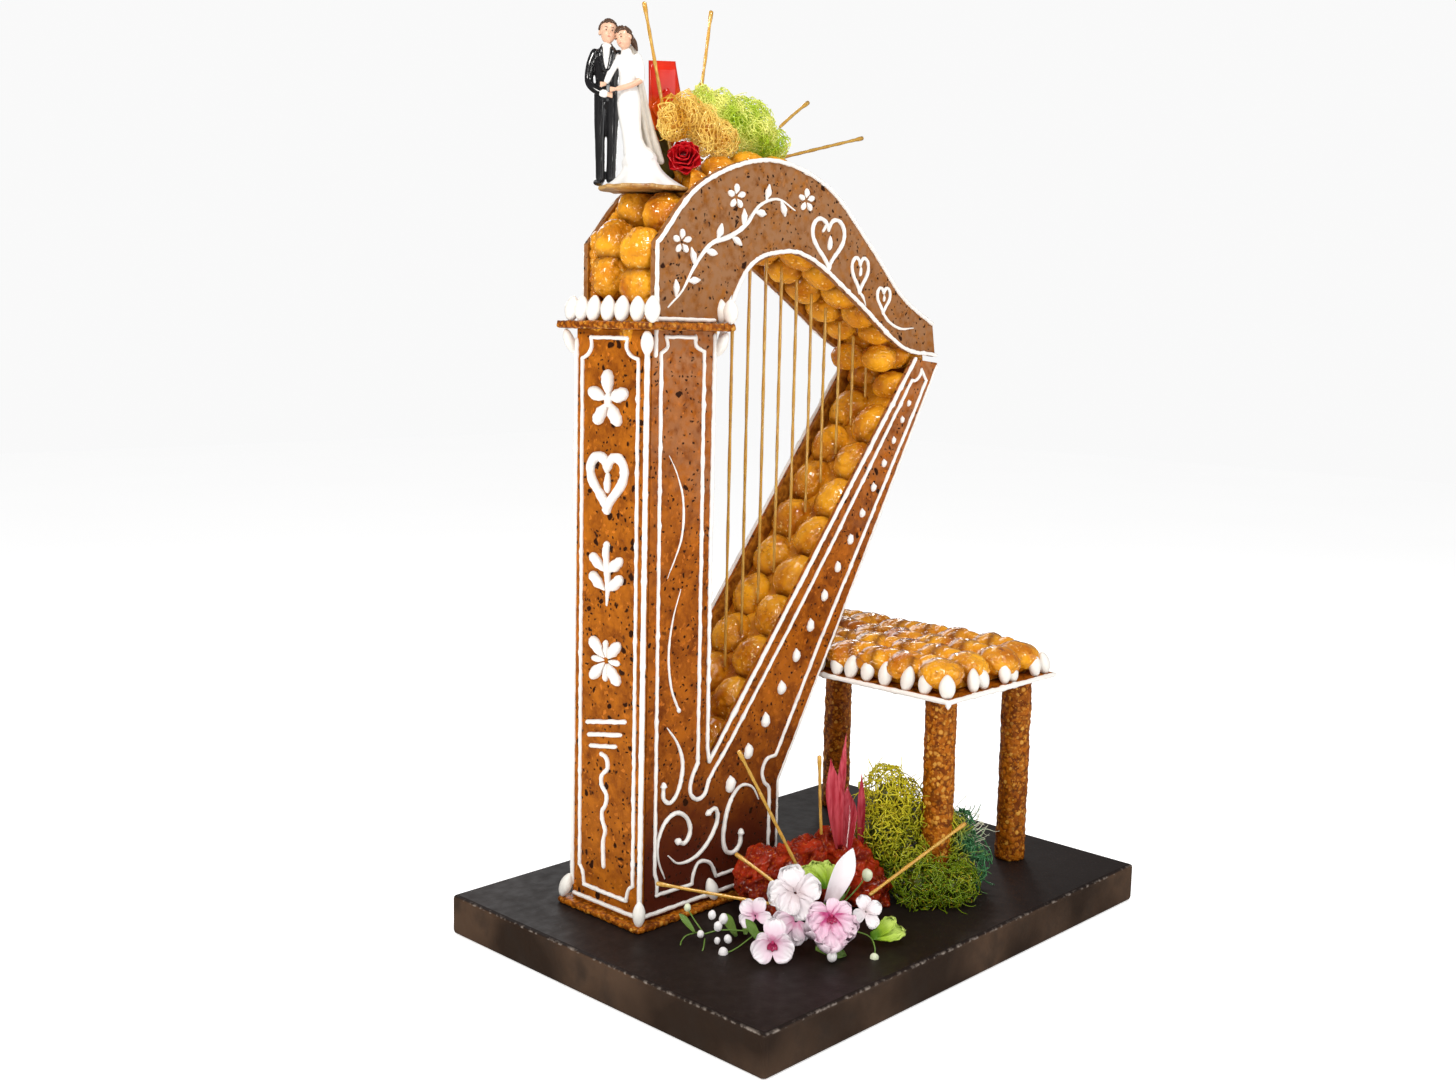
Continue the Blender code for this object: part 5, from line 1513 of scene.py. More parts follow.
def head_shape(bm, centre, halves, lean, nod):
    """A head on plain proportions: skull, jaw, nose and ears."""
    a, b, c = halves
    base = Vector(centre)
    turn = Matrix.Rotation(lean, 3, "Y") @ Matrix.Rotation(nod, 3, "Z")

    def spot(right, forward, up):
        """A place on the head, measured in its own half sizes."""
        return base + turn @ Vector((right * a, -forward * b, up * c))

    for where, sizes in (((0, -0.10, 0.22), (0.98, 1.0, 0.80)),
                         ((0, 0.10, -0.22), (0.80, 0.86, 0.74)),
                         ((0, 0.36, -0.66), (0.42, 0.46, 0.30)),
                         ((0, 0.93, -0.10), (0.12, 0.17, 0.20)),
                         ((-0.95, -0.08, -0.05), (0.12, 0.20, 0.24)),
                         ((0.95, -0.08, -0.05), (0.12, 0.20, 0.24))):
        shape = (Matrix.Translation(spot(*where)) @ turn.to_4x4()
                 @ Matrix.Diagonal((sizes[0] * a, sizes[1] * b, sizes[2] * c, 1)))
        bmesh.ops.create_icosphere(bm, subdivisions=3, radius=1.0, matrix=shape)
    return spot


# Faces: plain and calm, eyes half way up the head.
bm = bmesh.new()
groom_head = head_shape(bm, (groom_x + 0.0010, -0.0010, 0.1340),
                        (0.0080, 0.0089, 0.0102), 0.06, 0.20)
bride_head = head_shape(bm, (bride_x - 0.0042, -0.0018, 0.1290),
                        (0.0075, 0.0084, 0.0096), -0.30, -0.55)
add_limb(bm, [(groom_x, -0.0004, 0.1195, 0.0037),
              (groom_x + 0.0008, -0.0006, 0.1275, 0.0034)])
add_limb(bm, [(bride_x - 0.0018, 0.0, 0.1150, 0.0033),
              (bride_x - 0.0036, -0.0012, 0.1225, 0.0029)])
add_limb(bm, [(bride_x + 0.0116, -0.0044, 0.0930, 0.0030),
              (bride_x + 0.0040, -0.0092, 0.0880, 0.0025),
              (bride_x - 0.0080, -0.0120, 0.0840, 0.0021)])
for end in ((bride_x - 0.0110, -0.0128, 0.0835), (bride_x - 0.0198, -0.0108, 0.0880)):
    for i in range(4):
        reach = Vector((-0.0034, -0.0006, 0.0012 - 0.0011 * i))
        add_limb(bm, [(*end, 0.0017), (*(Vector(end) + reach), 0.0008)])
for i in range(4):
    add_limb(bm, [(groom_x + 0.0010, -0.0104, 0.0793, 0.0019),
                  (groom_x + 0.0056, -0.0112, 0.0802 - 0.0011 * i, 0.0009)])
dress("couple_skin", bm, skin_tone, 0.00040, 2)

bm = bmesh.new()
for spot, part in ((groom_head, 0), (bride_head, 1)):
    size = (0.0074, 0.0068)[part]
    for side in (-1, 1):
        bmesh.ops.create_icosphere(
            bm, subdivisions=2, radius=size * 0.085,
            matrix=Matrix.Translation(spot(side * 0.36, 0.88, 0.08)))
        brow = [(spot(side * 0.22, 0.93, 0.29), size * 0.030),
                (spot(side * 0.38, 0.90, 0.34), size * 0.042),
                (spot(side * 0.54, 0.82, 0.30), size * 0.026)]
        pour_in(bm, tubes("brow", [brow]))
bmesh.ops.transform(bm, verts=bm.verts, matrix=pair_place)
finish_piece("couple_eyes", bm, hair_brown, "couple", "couple")

bm = tubes("couple_lips", [
    [(spot(-0.22, 0.84, -0.44), 0.0002), (spot(0.0, 0.93, -0.43), 0.0005),
     (spot(0.22, 0.84, -0.44), 0.0002)] for spot in (groom_head, bride_head)])
bmesh.ops.transform(bm, verts=bm.verts, matrix=pair_place)
finish_piece("couple_lips", bm, lip_rose, "couple", "couple")

# Hair: short for the groom, gathered into a low tail for the bride.
bm = bmesh.new()
dice = random.Random(17)
for spot, low_edge, front_edge in ((groom_head, -0.30, 0.62),
                                   (bride_head, -0.45, 0.50)):
    for i in range(150):
        height = dice.uniform(low_edge, 1.0)
        angle = dice.uniform(0, math.tau)
        ring = math.sqrt(max(0.0, 1.0 - height ** 2))
        right, forward = ring * math.sin(angle), ring * math.cos(angle)
        if forward > 0.25 and height < front_edge:
            continue
        if forward > -0.25 and height < 0.05:
            continue
        bmesh.ops.create_icosphere(
            bm, subdivisions=1, radius=0.0017,
            matrix=Matrix.Translation(spot(right * 0.98, forward * 0.96 - 0.06,
                                           height * 0.98 + 0.10)))
    bmesh.ops.create_icosphere(bm, subdivisions=3, radius=0.0066,
                               matrix=Matrix.Translation(spot(0, -0.22, 0.26)))
tail = [bride_head(0.20, -0.95, 0.00), bride_head(0.40, -1.12, -0.45),
        bride_head(0.58, -1.05, -0.95), bride_head(0.72, -0.95, -1.30)]
add_limb(bm, [(*tail[0], 0.0036), (*tail[1], 0.0031), (*tail[2], 0.0020),
              (*tail[3], 0.0009)])
dress("couple_hair", bm, hair_brown, 0.00045, 1)


# ------------------------------------------------------- sticks on the top
# Four thin rods of pulled sugar with a golden lustre, pushed into the puffs.
# Each ends in a small knob where the sugar was pinched off.

def add_sticks(prefix, count, radius):
    """Rods in place of the CAD rods of one family."""
    for i in range(1, count + 1):
        low_end, high_end = ends_of(f"{prefix}_{i}")
        route = pulled_rod(low_end, high_end, radius, 40 + i, 0.95, 0.0008)
        route[-3] = (route[-3][0], radius * 1.35)
        route[-2] = (route[-2][0], radius * 1.30)
        finish_piece(f"{prefix}_{i}_sugar", tubes(f"{prefix}_{i}", [route]),
                     gold_sugar, "gold_sugar", f"{prefix}_{i}")


add_sticks("top_stick", 4, 0.00175)


# ------------------------------------------------------------- spun sugar
# Clouds of hair-fine sugar threads wound round a smaller, denser heart:
# amber behind the rose, green over the middle of the arch.

def sugar_thread(name, low, high, rough=0.25, glow=0.12):
    """Clear sugar coloured from one tint to another in soft patches. The
    light that soaks through its threads is a faint glow."""
    made, tree, shader, place = new_material(
        name, Roughness=rough, Coat_Weight=0.5, Coat_Roughness=0.08,
        Specular_IOR_Level=0.3, Emission_Strength=glow)
    tint = use_group(tree, hand_made, Vector=place, Size=42.0)
    tone = mix(tree, ramp(tree, tint.outputs["Clouds"], 0.38, 0.62), low, high)
    tree.links.new(tone, shader.inputs["Base Color"])
    tree.links.new(tone, shader.inputs["Emission Color"])
    bumped(tree, shader, tint.outputs["Grain"], 0.3, 0.0006)
    return made


def add_lobe(bm, centre, halves, seed, depth, detail=4, size=0.010):
    """One uneven lump."""
    lump = bmesh.new()
    bmesh.ops.create_icosphere(lump, subdivisions=detail, radius=1.0,
                               matrix=Matrix.Diagonal((*halves, 1)))
    bmesh.ops.translate(lump, verts=lump.verts, vec=centre)
    roughen(lump, size, depth, seed, 3)
    pour_in(bm, lump)


def chance_way(dice):
    """A vector of chance direction and length."""
    return Vector((dice.gauss(0, 1), dice.gauss(0, 1), dice.gauss(0, 1)))


def wound_threads(centre, halves, count, radius, seed, inner=0.72, outer=1.04,
                  steps=44, stray=0.10):
    """Routes of fine threads that wander round an egg-shaped cloud."""
    dice = random.Random(seed)
    centre, halves = Vector(centre), Vector(halves)
    routes = []
    for i in range(count):
        way = chance_way(dice).normalized()
        axis = chance_way(dice).normalized()
        deep = dice.uniform(inner, outer)
        loose = dice.random() < stray
        route = []
        for step in range(steps):
            axis = (axis + chance_way(dice) * 0.55).normalized()
            way = (Matrix.Rotation(0.17, 3, axis) @ way).normalized()
            deep += dice.uniform(-0.035, 0.035)
            if loose:
                deep += 0.006
            deep = min(max(deep, inner), outer + (0.22 if loose else 0.0))
            point = centre + way * halves * deep
            route.append((point, radius * dice.uniform(0.75, 1.3)))
        routes.append(route)
    return routes


def lace(centre, halves, radius, seed, cell, kept):
    """Routes of an open net of sugar laid over an egg-shaped cloud."""
    dice = random.Random(seed)
    net = bmesh.new()
    bmesh.ops.create_icosphere(net, subdivisions=cell, radius=1.0,
                               matrix=Matrix.Diagonal((*halves, 1)))
    turn = Matrix.Rotation(dice.uniform(0, math.tau), 3,
                           Vector((dice.random(), dice.random(), 1.0)))
    for vert in net.verts:
        shake = chance_way(dice) * 0.0010
        swell = 1.0 + 0.24 * noise.noise(turn @ vert.co / 0.014
                                         + Vector((seed, 0, 0)))
        vert.co = Vector(centre) + vert.co * swell + shake
    routes = []
    for edge in net.edges:
        if dice.random() < kept:
            a, b = (vert.co.copy() for vert in edge.verts)
            bend = chance_way(dice) * 0.0005
            thick = radius * dice.uniform(0.7, 1.5)
            routes.append([(a, thick), ((a + b) / 2 + bend, thick * 0.8),
                           (b, thick)])
    net.free()
    return routes


def sprigs(centre, halves, count, reach, radius, seed):
    """Routes of short curly threads that stand out of a cloud."""
    dice = random.Random(seed)
    centre, halves = Vector(centre), Vector(halves)
    steps = 8
    routes = []
    for i in range(count):
        way = chance_way(dice).normalized()
        point = centre + way * halves * dice.uniform(0.4, 0.95)
        axis = chance_way(dice)
        bend = dice.uniform(0.10, 0.55)
        route = []
        for step in range(steps):
            way = (Matrix.Rotation(bend, 3, axis) @ way).normalized()
            point = point + way * reach * dice.uniform(0.7, 1.2) / steps
            route.append((point.copy(), radius * (1.2 - 0.7 * step / steps)))
        routes.append(route)
    return routes


def sugar_cloud(name, lobes, threads, radius, finish, heart, slot, stands_for,
                seed, floor_height=None, fluff=0, reach=0.010, core=0.62,
                kept=0.55, **winding):
    """A cloud: a dense heart, nets and threads over it, and loose sprigs."""
    bm = bmesh.new()
    for i, (centre, halves) in enumerate(lobes):
        add_lobe(bm, centre, Vector(halves) * core, seed + i, 0.0030)
    bm = fuse(bm, 0.0011, 1)
    if floor_height is not None:
        for vert in bm.verts:
            vert.co.z = max(vert.co.z, floor_height)
    roughen(bm, 0.0035, 0.0011, seed)
    finish_piece(name + "_heart", bm, heart, slot, *stands_for)
    routes = []
    whole = sum(h[0] * h[1] + h[1] * h[2] + h[0] * h[2] for c, h in lobes)
    for i, (centre, halves) in enumerate(lobes):
        share = (halves[0] * halves[1] + halves[1] * halves[2]
                 + halves[0] * halves[2]) / whole
        routes += wound_threads(centre, halves, int(threads * share), radius,
                                seed * 7 + i, **winding)
        routes += lace(centre, Vector(halves) * 1.02, radius * 1.35,
                       seed * 9 + i, 3 + (max(halves) > 0.024), kept)
        routes += lace(centre, Vector(halves) * 0.88, radius * 1.35,
                       seed * 11 + i, 3 + (max(halves) > 0.030), kept)
        routes += sprigs(centre, halves, int(fluff * share), reach, radius,
                         seed * 13 + i)
    if floor_height is not None:
        for route in routes:
            for point, wide in route:
                point.z = max(point.z, floor_height + 0.0005)
    finish_piece(name + "_threads", tubes(name, routes, 0), finish, slot,
                 *stands_for)


amber_thread = sugar_thread("amber_thread", (0.60, 0.27, 0.014),
                            (0.90, 0.66, 0.16))
amber_heart = sugar_thread("amber_heart", (0.40, 0.11, 0.006),
                           (0.66, 0.32, 0.022), 0.3)
green_thread = sugar_thread("green_thread", (0.40, 0.56, 0.020),
                            (0.86, 0.84, 0.22))
green_heart = sugar_thread("green_heart", (0.26, 0.42, 0.010),
                           (0.74, 0.68, 0.06), 0.3)
sugar_cloud("amber_sugar",
            [((-0.1620, 0.055, 0.8060), (0.016, 0.012, 0.020)),
             ((-0.1440, 0.055, 0.8120), (0.018, 0.013, 0.022)),
             ((-0.1250, 0.050, 0.8000), (0.016, 0.012, 0.024)),
             ((-0.1060, 0.047, 0.7930), (0.018, 0.012, 0.019))],
            70, 0.00034, amber_thread, amber_heart, "spun_amber",
            ["spun_sugar_amber"], 51, fluff=160, reach=0.007)
sugar_cloud("green_sugar",
            [((-0.1120, 0.066, 0.8170), (0.014, 0.014, 0.026)),
             ((-0.0880, 0.072, 0.8150), (0.031, 0.026, 0.028)),
             ((-0.0500, 0.068, 0.8130), (0.032, 0.026, 0.026)),
             ((-0.0190, 0.064, 0.7970), (0.020, 0.020, 0.018))],
            90, 0.00034, green_thread, green_heart, "spun_green",
            ["spun_sugar_green"], 61, fluff=420, reach=0.010)


# ------------------------------------------------- rose, leaf, sugar sheet
# A red rose of rolled sugar paste at the couple's feet, an olive leaf behind
# it, and two panes of clear red sugar folded over each other.

def petal_paste(name, heart, middle, edge, rough=0.5, coat=0.1):
    """Sugar paste tinted from a petal's heart to its edge."""
    made, tree, shader, place = new_material(
        name, Roughness=rough, Coat_Weight=coat, Coat_Roughness=0.2,
        Specular_IOR_Level=0.1)
    reach = node(tree, "Attribute", attribute_name="reach").outputs["Fac"]
    uneven = use_group(tree, hand_made, Vector=place, Size=150.0)
    moved = math_node(tree, "ADD", reach,
                      math_node(tree, "MULTIPLY", math_node(
                          tree, "SUBTRACT", uneven.outputs["Clouds"], 0.5),
                          0.45))
    tone = mix(tree, ramp(tree, moved, 0.08, 0.32), heart, middle)
    tone = mix(tree, ramp(tree, moved, 0.35, 0.85), tone, edge)
    tree.links.new(tone, shader.inputs["Base Color"])
    bumped(tree, shader, uneven.outputs["Grain"], 0.15, 0.0005)
    return made


def add_petal(bm, base, tip, outward, width, cup, ruffle, seed, waist=0.35,
              point=0.5, thick=0.0008, curl_back=0.0, waves=3.0):
    """One petal: a thin curved sheet from its base to its tip."""
    base, tip = Vector(base), Vector(tip)
    up = tip - base
    length = up.length
    up.normalize()
    side = up.cross(Vector(outward)).normalized()
    out = side.cross(up).normalized()
    dice = random.Random(seed)
    phase = dice.uniform(0, math.tau)
    petal = bmesh.new()
    reach = petal.verts.layers.float.new("reach")
    bmesh.ops.create_grid(petal, x_segments=22, y_segments=14, size=1.0)
    ragged = max(0.0, ruffle - 0.10)
    for vert in petal.verts:
        across, share = vert.co.x, (vert.co.y + 1.0) / 2
        vert[reach] = share
        swell = waist + (1.0 - waist) * math.sin(
            math.pi * min(1.0, share / 0.66) / 2)
        if share > 0.60:
            swell *= max(0.0, 1.0 - ((share - 0.60) / 0.40) ** 2) ** point
        swell = max(swell, 0.04)
        rise = share * length
        rise -= ragged * length * 0.9 * share ** 3 * (
            0.5 + 0.5 * math.sin(across * waves * 3.2 + phase * 3.0))
        swell *= 1.0 - ragged * share * (
            0.7 + 0.7 * math.sin(share * waves * 5.0 + phase * 2.0))
        bend = cup * width * (across * across) * swell
        bend -= curl_back * length * share ** 2.5
        frill = ruffle * width * share ** 1.5 * abs(across) ** 1.5 \
            * math.sin(across * waves * 3.0 + phase + share * waves * 2.4)
        frill += ruffle * 0.6 * width * max(0.0, share - 0.55) \
            * math.sin(across * waves * 4.2 + phase * 2)
        vert.co = (base + side * across * swell * width / 2 + up * rise
                   + out * (bend + frill))
    bmesh.ops.solidify(petal, geom=petal.faces[:], thickness=thick)
    pour_in(bm, petal)


rose_paste = petal_paste("rose_paste", (0.10, 0.001, 0.004),
                         (0.42, 0.003, 0.006), (0.60, 0.008, 0.014), 0.35, 0.3)
rose_low, rose_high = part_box("rose")
rose_centre = (rose_low + rose_high) / 2
bm = bmesh.new()
rose_face = Vector((-0.72, -0.62, 0.30)).normalized()
rose_turn = rose_face.to_track_quat("Z", "Y").to_matrix()
layers = ((3, 0.30, 0.95, 0.0058, 0.15), (4, 0.48, 0.86, 0.0086, 0.35),
          (5, 0.68, 0.66, 0.0112, 0.62), (6, 0.86, 0.36, 0.0128, 0.95),
          (6, 1.00, 0.00, 0.0134, 1.20))
for number, (count, spread, rise, width, lean) in enumerate(layers):
    for i in range(count):
        angle = math.tau * i / count + number * 0.7
        away = rose_turn @ Vector((math.cos(angle), math.sin(angle), 0.0))
        foot = rose_centre - rose_face * 0.0105 + away * 0.0035 * spread
        tip = (rose_centre + away * 0.0158 * spread
               + rose_face * (0.0145 * rise - 0.0010))
        add_petal(bm, foot, tip, -away, width * 1.30, 0.30, 0.05,
                  number * 10 + i, 0.5, 0.40, 0.0008, 0.10 * lean, 2.0)
bmesh.ops.create_icosphere(bm, subdivisions=3, radius=0.0098,
                           matrix=Matrix.Translation(rose_centre
                                                     - rose_face * 0.0045))
finish_piece("rose_petals", bm, rose_paste, "rose", "rose")

olive_leaf = petal_paste("olive_leaf", (0.055, 0.050, 0.008),
                         (0.130, 0.115, 0.018), (0.075, 0.040, 0.012), 0.4, 0.4)
bm = bmesh.new()
add_petal(bm, (-0.139, 0.077, 0.762), (-0.173, 0.088, 0.800),
          (-0.70, -0.65, 0.2), 0.027, 0.10, 0.03, 3, 0.3, 0.8, 0.0010, 0.06)
add_petal(bm, (-0.144, 0.073, 0.755), (-0.176, 0.078, 0.784),
          (-0.70, -0.65, 0.2), 0.020, 0.10, 0.03, 4, 0.3, 0.8, 0.0010, 0.06)
finish_piece("rose_leaf_paste", bm, olive_leaf, "leaf", "rose_leaf")

red_clear, tree, shader, place = new_material(
    "red_clear_sugar", Roughness=0.18, Coat_Weight=0.6, Coat_Roughness=0.05,
    Specular_IOR_Level=0.3)
sheet_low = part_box("sugar_sheet")[0]
height = node(tree, "SeparateXYZ", Vector=place).outputs["Z"]
cast = use_group(tree, hand_made, Vector=place, Size=24.0)
tone = mix(tree, ramp(tree, cast.outputs["Clouds"], 0.30, 0.70),
           (0.62, 0.012, 0.004), (0.78, 0.040, 0.010))
tone = mix(tree, ramp(tree, height, sheet_low.z + 0.052, sheet_low.z + 0.044),
           tone, (0.86, 0.105, 0.008))
tree.links.new(tone, shader.inputs["Base Color"])
bumped(tree, shader, cast.outputs["Clouds"], 0.25, 0.0015)
bottom = Vector((-0.146, middle_y + 0.010, 0.780))
bm = bmesh.new()
for corners, lift in (
        (((0.006, 0, 0.012), (0.020, 0, 0.040), (0.004, -0.004, 0.084),
          (-0.023, 0.004, 0.082), (-0.020, 0.006, 0.006)), 0.0),
        (((0.004, -0.002, 0.004), (0.0185, -0.001, 0.036),
          (-0.004, -0.003, 0.058), (-0.020, 0.003, 0.040)), -0.0016)):
    pane = bmesh.new()
    ring = [pane.verts.new(bottom + Vector(c) + Vector((lift, lift, 0)))
            for c in corners]
    pane.faces.new(ring)
    bmesh.ops.triangulate(pane, faces=pane.faces[:])
    bmesh.ops.subdivide_edges(pane, edges=pane.edges[:], cuts=7,
                              use_grid_fill=True)
    roughen(pane, 0.030, 0.0008, 9, 1)
    bmesh.ops.solidify(pane, geom=pane.faces[:], thickness=0.0011)
    pour_in(bm, pane)
finish_piece("sugar_sheet_panes", bm, red_clear, "red_sugar", "sugar_sheet")


# --------------------------------------------- red sugar, blades and moss
# Crumpled dark red sugar at the harp's foot with four pointed pink blades
# in it, and a green cloud of sugar moss round the stool's near leg.

red_dark, tree, shader, place = new_material(
    "red_dark_sugar", Roughness=0.22, Coat_Weight=0.32, Coat_Roughness=0.06,
    Specular_IOR_Level=0.08)
crumple = use_group(tree, hand_made, Vector=place, Size=45.0)
blister = node(tree, "TexVoronoi", Vector=place, Scale=190.0)
tone = mix(tree, ramp(tree, crumple.outputs["Clouds"], 0.36, 0.64),
           (0.095, 0.005, 0.002), (0.380, 0.026, 0.006))
tone = mix(tree, ramp(tree, crumple.outputs["Grain"], 0.56, 0.70), tone,
           (0.440, 0.080, 0.008))
tree.links.new(tone, shader.inputs["Base Color"])
bumped(tree, shader, math_node(tree, "ADD", blister.outputs["Distance"],
                               crumple.outputs["Grain"]), 0.2, 0.0010)
floor_top = board_high.z + 0.0004
bm = bmesh.new()
for i, (centre, halves) in enumerate((
        ((-0.091, -0.017, 0.068), (0.029, 0.024, 0.032)),
        ((-0.104, -0.034, 0.060), (0.022, 0.020, 0.024)),
        ((-0.058, -0.045, 0.074), (0.035, 0.032, 0.034)),
        ((-0.030, -0.058, 0.084), (0.022, 0.022, 0.034)),
        ((-0.020, -0.074, 0.068), (0.029, 0.029, 0.034)),
        ((-0.008, -0.090, 0.056), (0.020, 0.020, 0.022)))):
    add_lobe(bm, centre, halves, 70 + i, 0.0050, 5, 0.016)
bm = fuse(bm, 0.0012, 0)
for vert in bm.verts:
    ridge = 1.0 - abs(noise.noise(vert.co / 0.021 + Vector((3, 5, 7)))) * 2.4
    ridge += 0.4 - abs(noise.noise(vert.co / 0.009)) * 1.0
    vert.co += vert.normal * (ridge - 0.6) * 0.0058
    vert.co.z = max(vert.co.z, floor_top)
finish_piece("red_sugar_crumpled", bm, red_dark, "red_sugar", "sugar_rocks")

blade_pink, tree, shader, place = new_material(
    "blade_pink", Roughness=0.20, Coat_Weight=0.7, Coat_Roughness=0.06,
    Specular_IOR_Level=0.3)
drawn = node(tree, "Mapping", Vector=place, Scale=(420.0, 420.0, 40.0))
streak = node(tree, "TexNoise", Vector=drawn.outputs["Vector"], Scale=1.0)
height = node(tree, "SeparateXYZ", Vector=place).outputs["Z"]
tone = mix(tree, ramp(tree, streak.outputs["Fac"], 0.35, 0.65),
           (0.36, 0.015, 0.030), (0.62, 0.085, 0.115))
tone = mix(tree, ramp(tree, height, 0.150, 0.100), tone, (0.30, 0.012, 0.016))
tree.links.new(tone, shader.inputs["Base Color"])
bumped(tree, shader, streak.outputs["Fac"], 0.3, 0.0006)
blades = (((-0.034, -0.062, 0.088), (-0.0150, -0.059, 0.2130), 0.0085, 1),
          ((-0.042, -0.076, 0.104), (-0.0530, -0.071, 0.1960), 0.0165, 2),
          ((-0.036, -0.078, 0.094), (-0.0240, -0.070, 0.1620), 0.0210, 3),
          ((-0.006, -0.075, 0.078), (0.0030, -0.066, 0.1700), 0.0085, 4))
for base, tip, width, seed in blades:
    bm = bmesh.new()
    add_petal(bm, base, tip, (-0.72, -0.69, 0.0), width, 0.22, 0.02, seed,
              0.40, 1.5, 0.0014, 0.02, 1.0)
    stands = ([f"sugar_blade_{seed}"] if seed < 3 else
              ["sugar_blade_3"] if seed == 4 else ["sugar_blade_2"])
    finish_piece(f"pink_blade_{seed}", bm, blade_pink, "pink_sugar", *stands)

moss_thread, tree, shader, place = new_material(
    "moss_thread", Roughness=0.35, Coat_Weight=0.4, Coat_Roughness=0.15,
    Specular_IOR_Level=0.2)
split = node(tree, "SeparateXYZ", Vector=place)
moss_mix = use_group(tree, hand_made, Vector=place, Size=30.0)
cloudy = math_node(tree, "MULTIPLY", math_node(
    tree, "SUBTRACT", moss_mix.outputs["Clouds"], 0.5), 0.10)
tone = mix(tree, ramp(tree, math_node(tree, "ADD", split.outputs["Z"], cloudy),
                      0.070, 0.130), (0.150, 0.230, 0.006), (0.60, 0.54, 0.022))
tone = mix(tree, ramp(tree, moss_mix.outputs["Grain"], 0.58, 0.66), tone,
           (0.42, 0.26, 0.014))
tone = mix(tree, ramp(tree, math_node(tree, "ADD", split.outputs["X"], cloudy),
                      0.088, 0.112), tone, (0.050, 0.19, 0.070))
tree.links.new(tone, shader.inputs["Base Color"])
bumped(tree, shader, moss_mix.outputs["Grain"], 0.3, 0.0005)
moss_heart = sugar_thread("moss_heart", (0.050, 0.090, 0.006),
                          (0.150, 0.120, 0.008), 0.4, 0.0)
moss_lobes = [
    ((0.040, -0.070, 0.140), (0.026, 0.026, 0.030)),
    ((0.060, -0.078, 0.122), (0.024, 0.024, 0.030)),
    ((0.026, -0.072, 0.100), (0.026, 0.026, 0.034)),
    ((0.048, -0.082, 0.078), (0.036, 0.034, 0.036)),
    ((0.030, -0.122, 0.062), (0.026, 0.028, 0.026)),
    ((0.054, -0.140, 0.058), (0.030, 0.028, 0.022)),
    ((0.090, -0.104, 0.086), (0.024, 0.026, 0.034)),
    ((0.100, -0.124, 0.066), (0.026, 0.028, 0.028)),
    ((0.112, -0.112, 0.092), (0.014, 0.018, 0.026))]
sugar_cloud("moss", moss_lobes, 66, 0.00054, moss_thread, moss_heart,
            "moss_sugar", ["moss_cloud"], 81, floor_top, fluff=900,
            reach=0.021, core=0.38, kept=0.22, inner=0.52, outer=1.06,
            stray=0.5)
tendril_pale = sugar_thread("tendril_pale", (0.42, 0.46, 0.30),
                            (0.60, 0.60, 0.46))
dice = random.Random(91)
routes = []
for i in range(46):
    angle = dice.uniform(-1.1, 1.2)
    start = Vector((0.098 + 0.014 * math.cos(angle), -0.120
                    + 0.020 * math.sin(angle), dice.uniform(0.070, 0.118)))
    way = Vector((0.8, 0.35 * math.sin(angle), dice.uniform(-0.2, 0.7)))
    turn_axis = chance_way(dice)
    route = []
    point = start
    for step in range(26):
        way = (Matrix.Rotation(dice.uniform(0.05, 0.38), 3, turn_axis)
               @ way).normalized()
        point = point + (way + Vector((0.55, 0, 0.10))) * 0.0009
        point.z = max(point.z, floor_top + 0.001)
        route.append((point.copy(), 0.00042 - 0.00001 * step))
    routes.append(route)
finish_piece("moss_tendrils", tubes("moss_tendrils", routes, 1), tendril_pale,
             "moss_sugar")


# -------------------------------------------------------- flowers in front
# Orchids of white sugar paste, flushed pink with magenta throats, on green
# stems among fresh leaves, buds and five golden rods.

add_sticks("flower_stick", 5, 0.00170)

orchid_paste = petal_paste("orchid_paste", (0.62, 0.26, 0.40),
                           (0.80, 0.60, 0.70), (0.88, 0.82, 0.85))
orchid_pink = petal_paste("orchid_pink", (0.56, 0.08, 0.24),
                          (0.80, 0.50, 0.64), (0.86, 0.70, 0.78))
white_paste = petal_paste("white_paste", (0.66, 0.54, 0.56),
                          (0.84, 0.76, 0.79), (0.90, 0.87, 0.88))
throat_paste = painted("throat_paste", (0.32, 0.008, 0.060),
                       (0.48, 0.030, 0.130), 0.4, 0.3)
fresh_leaf = petal_paste("fresh_leaf", (0.10, 0.24, 0.010),
                         (0.34, 0.52, 0.030), (0.56, 0.70, 0.16))
stem_green = painted("stem_green", (0.070, 0.150, 0.018),
                     (0.180, 0.300, 0.050), 0.4, 0.3)
bud_paste = painted("bud_paste", (0.62, 0.70, 0.40), (0.84, 0.86, 0.70), 0.4,
                    0.2)
bud_white = painted("bud_white", (0.80, 0.76, 0.76), (0.90, 0.88, 0.88), 0.4,
                    0.2)


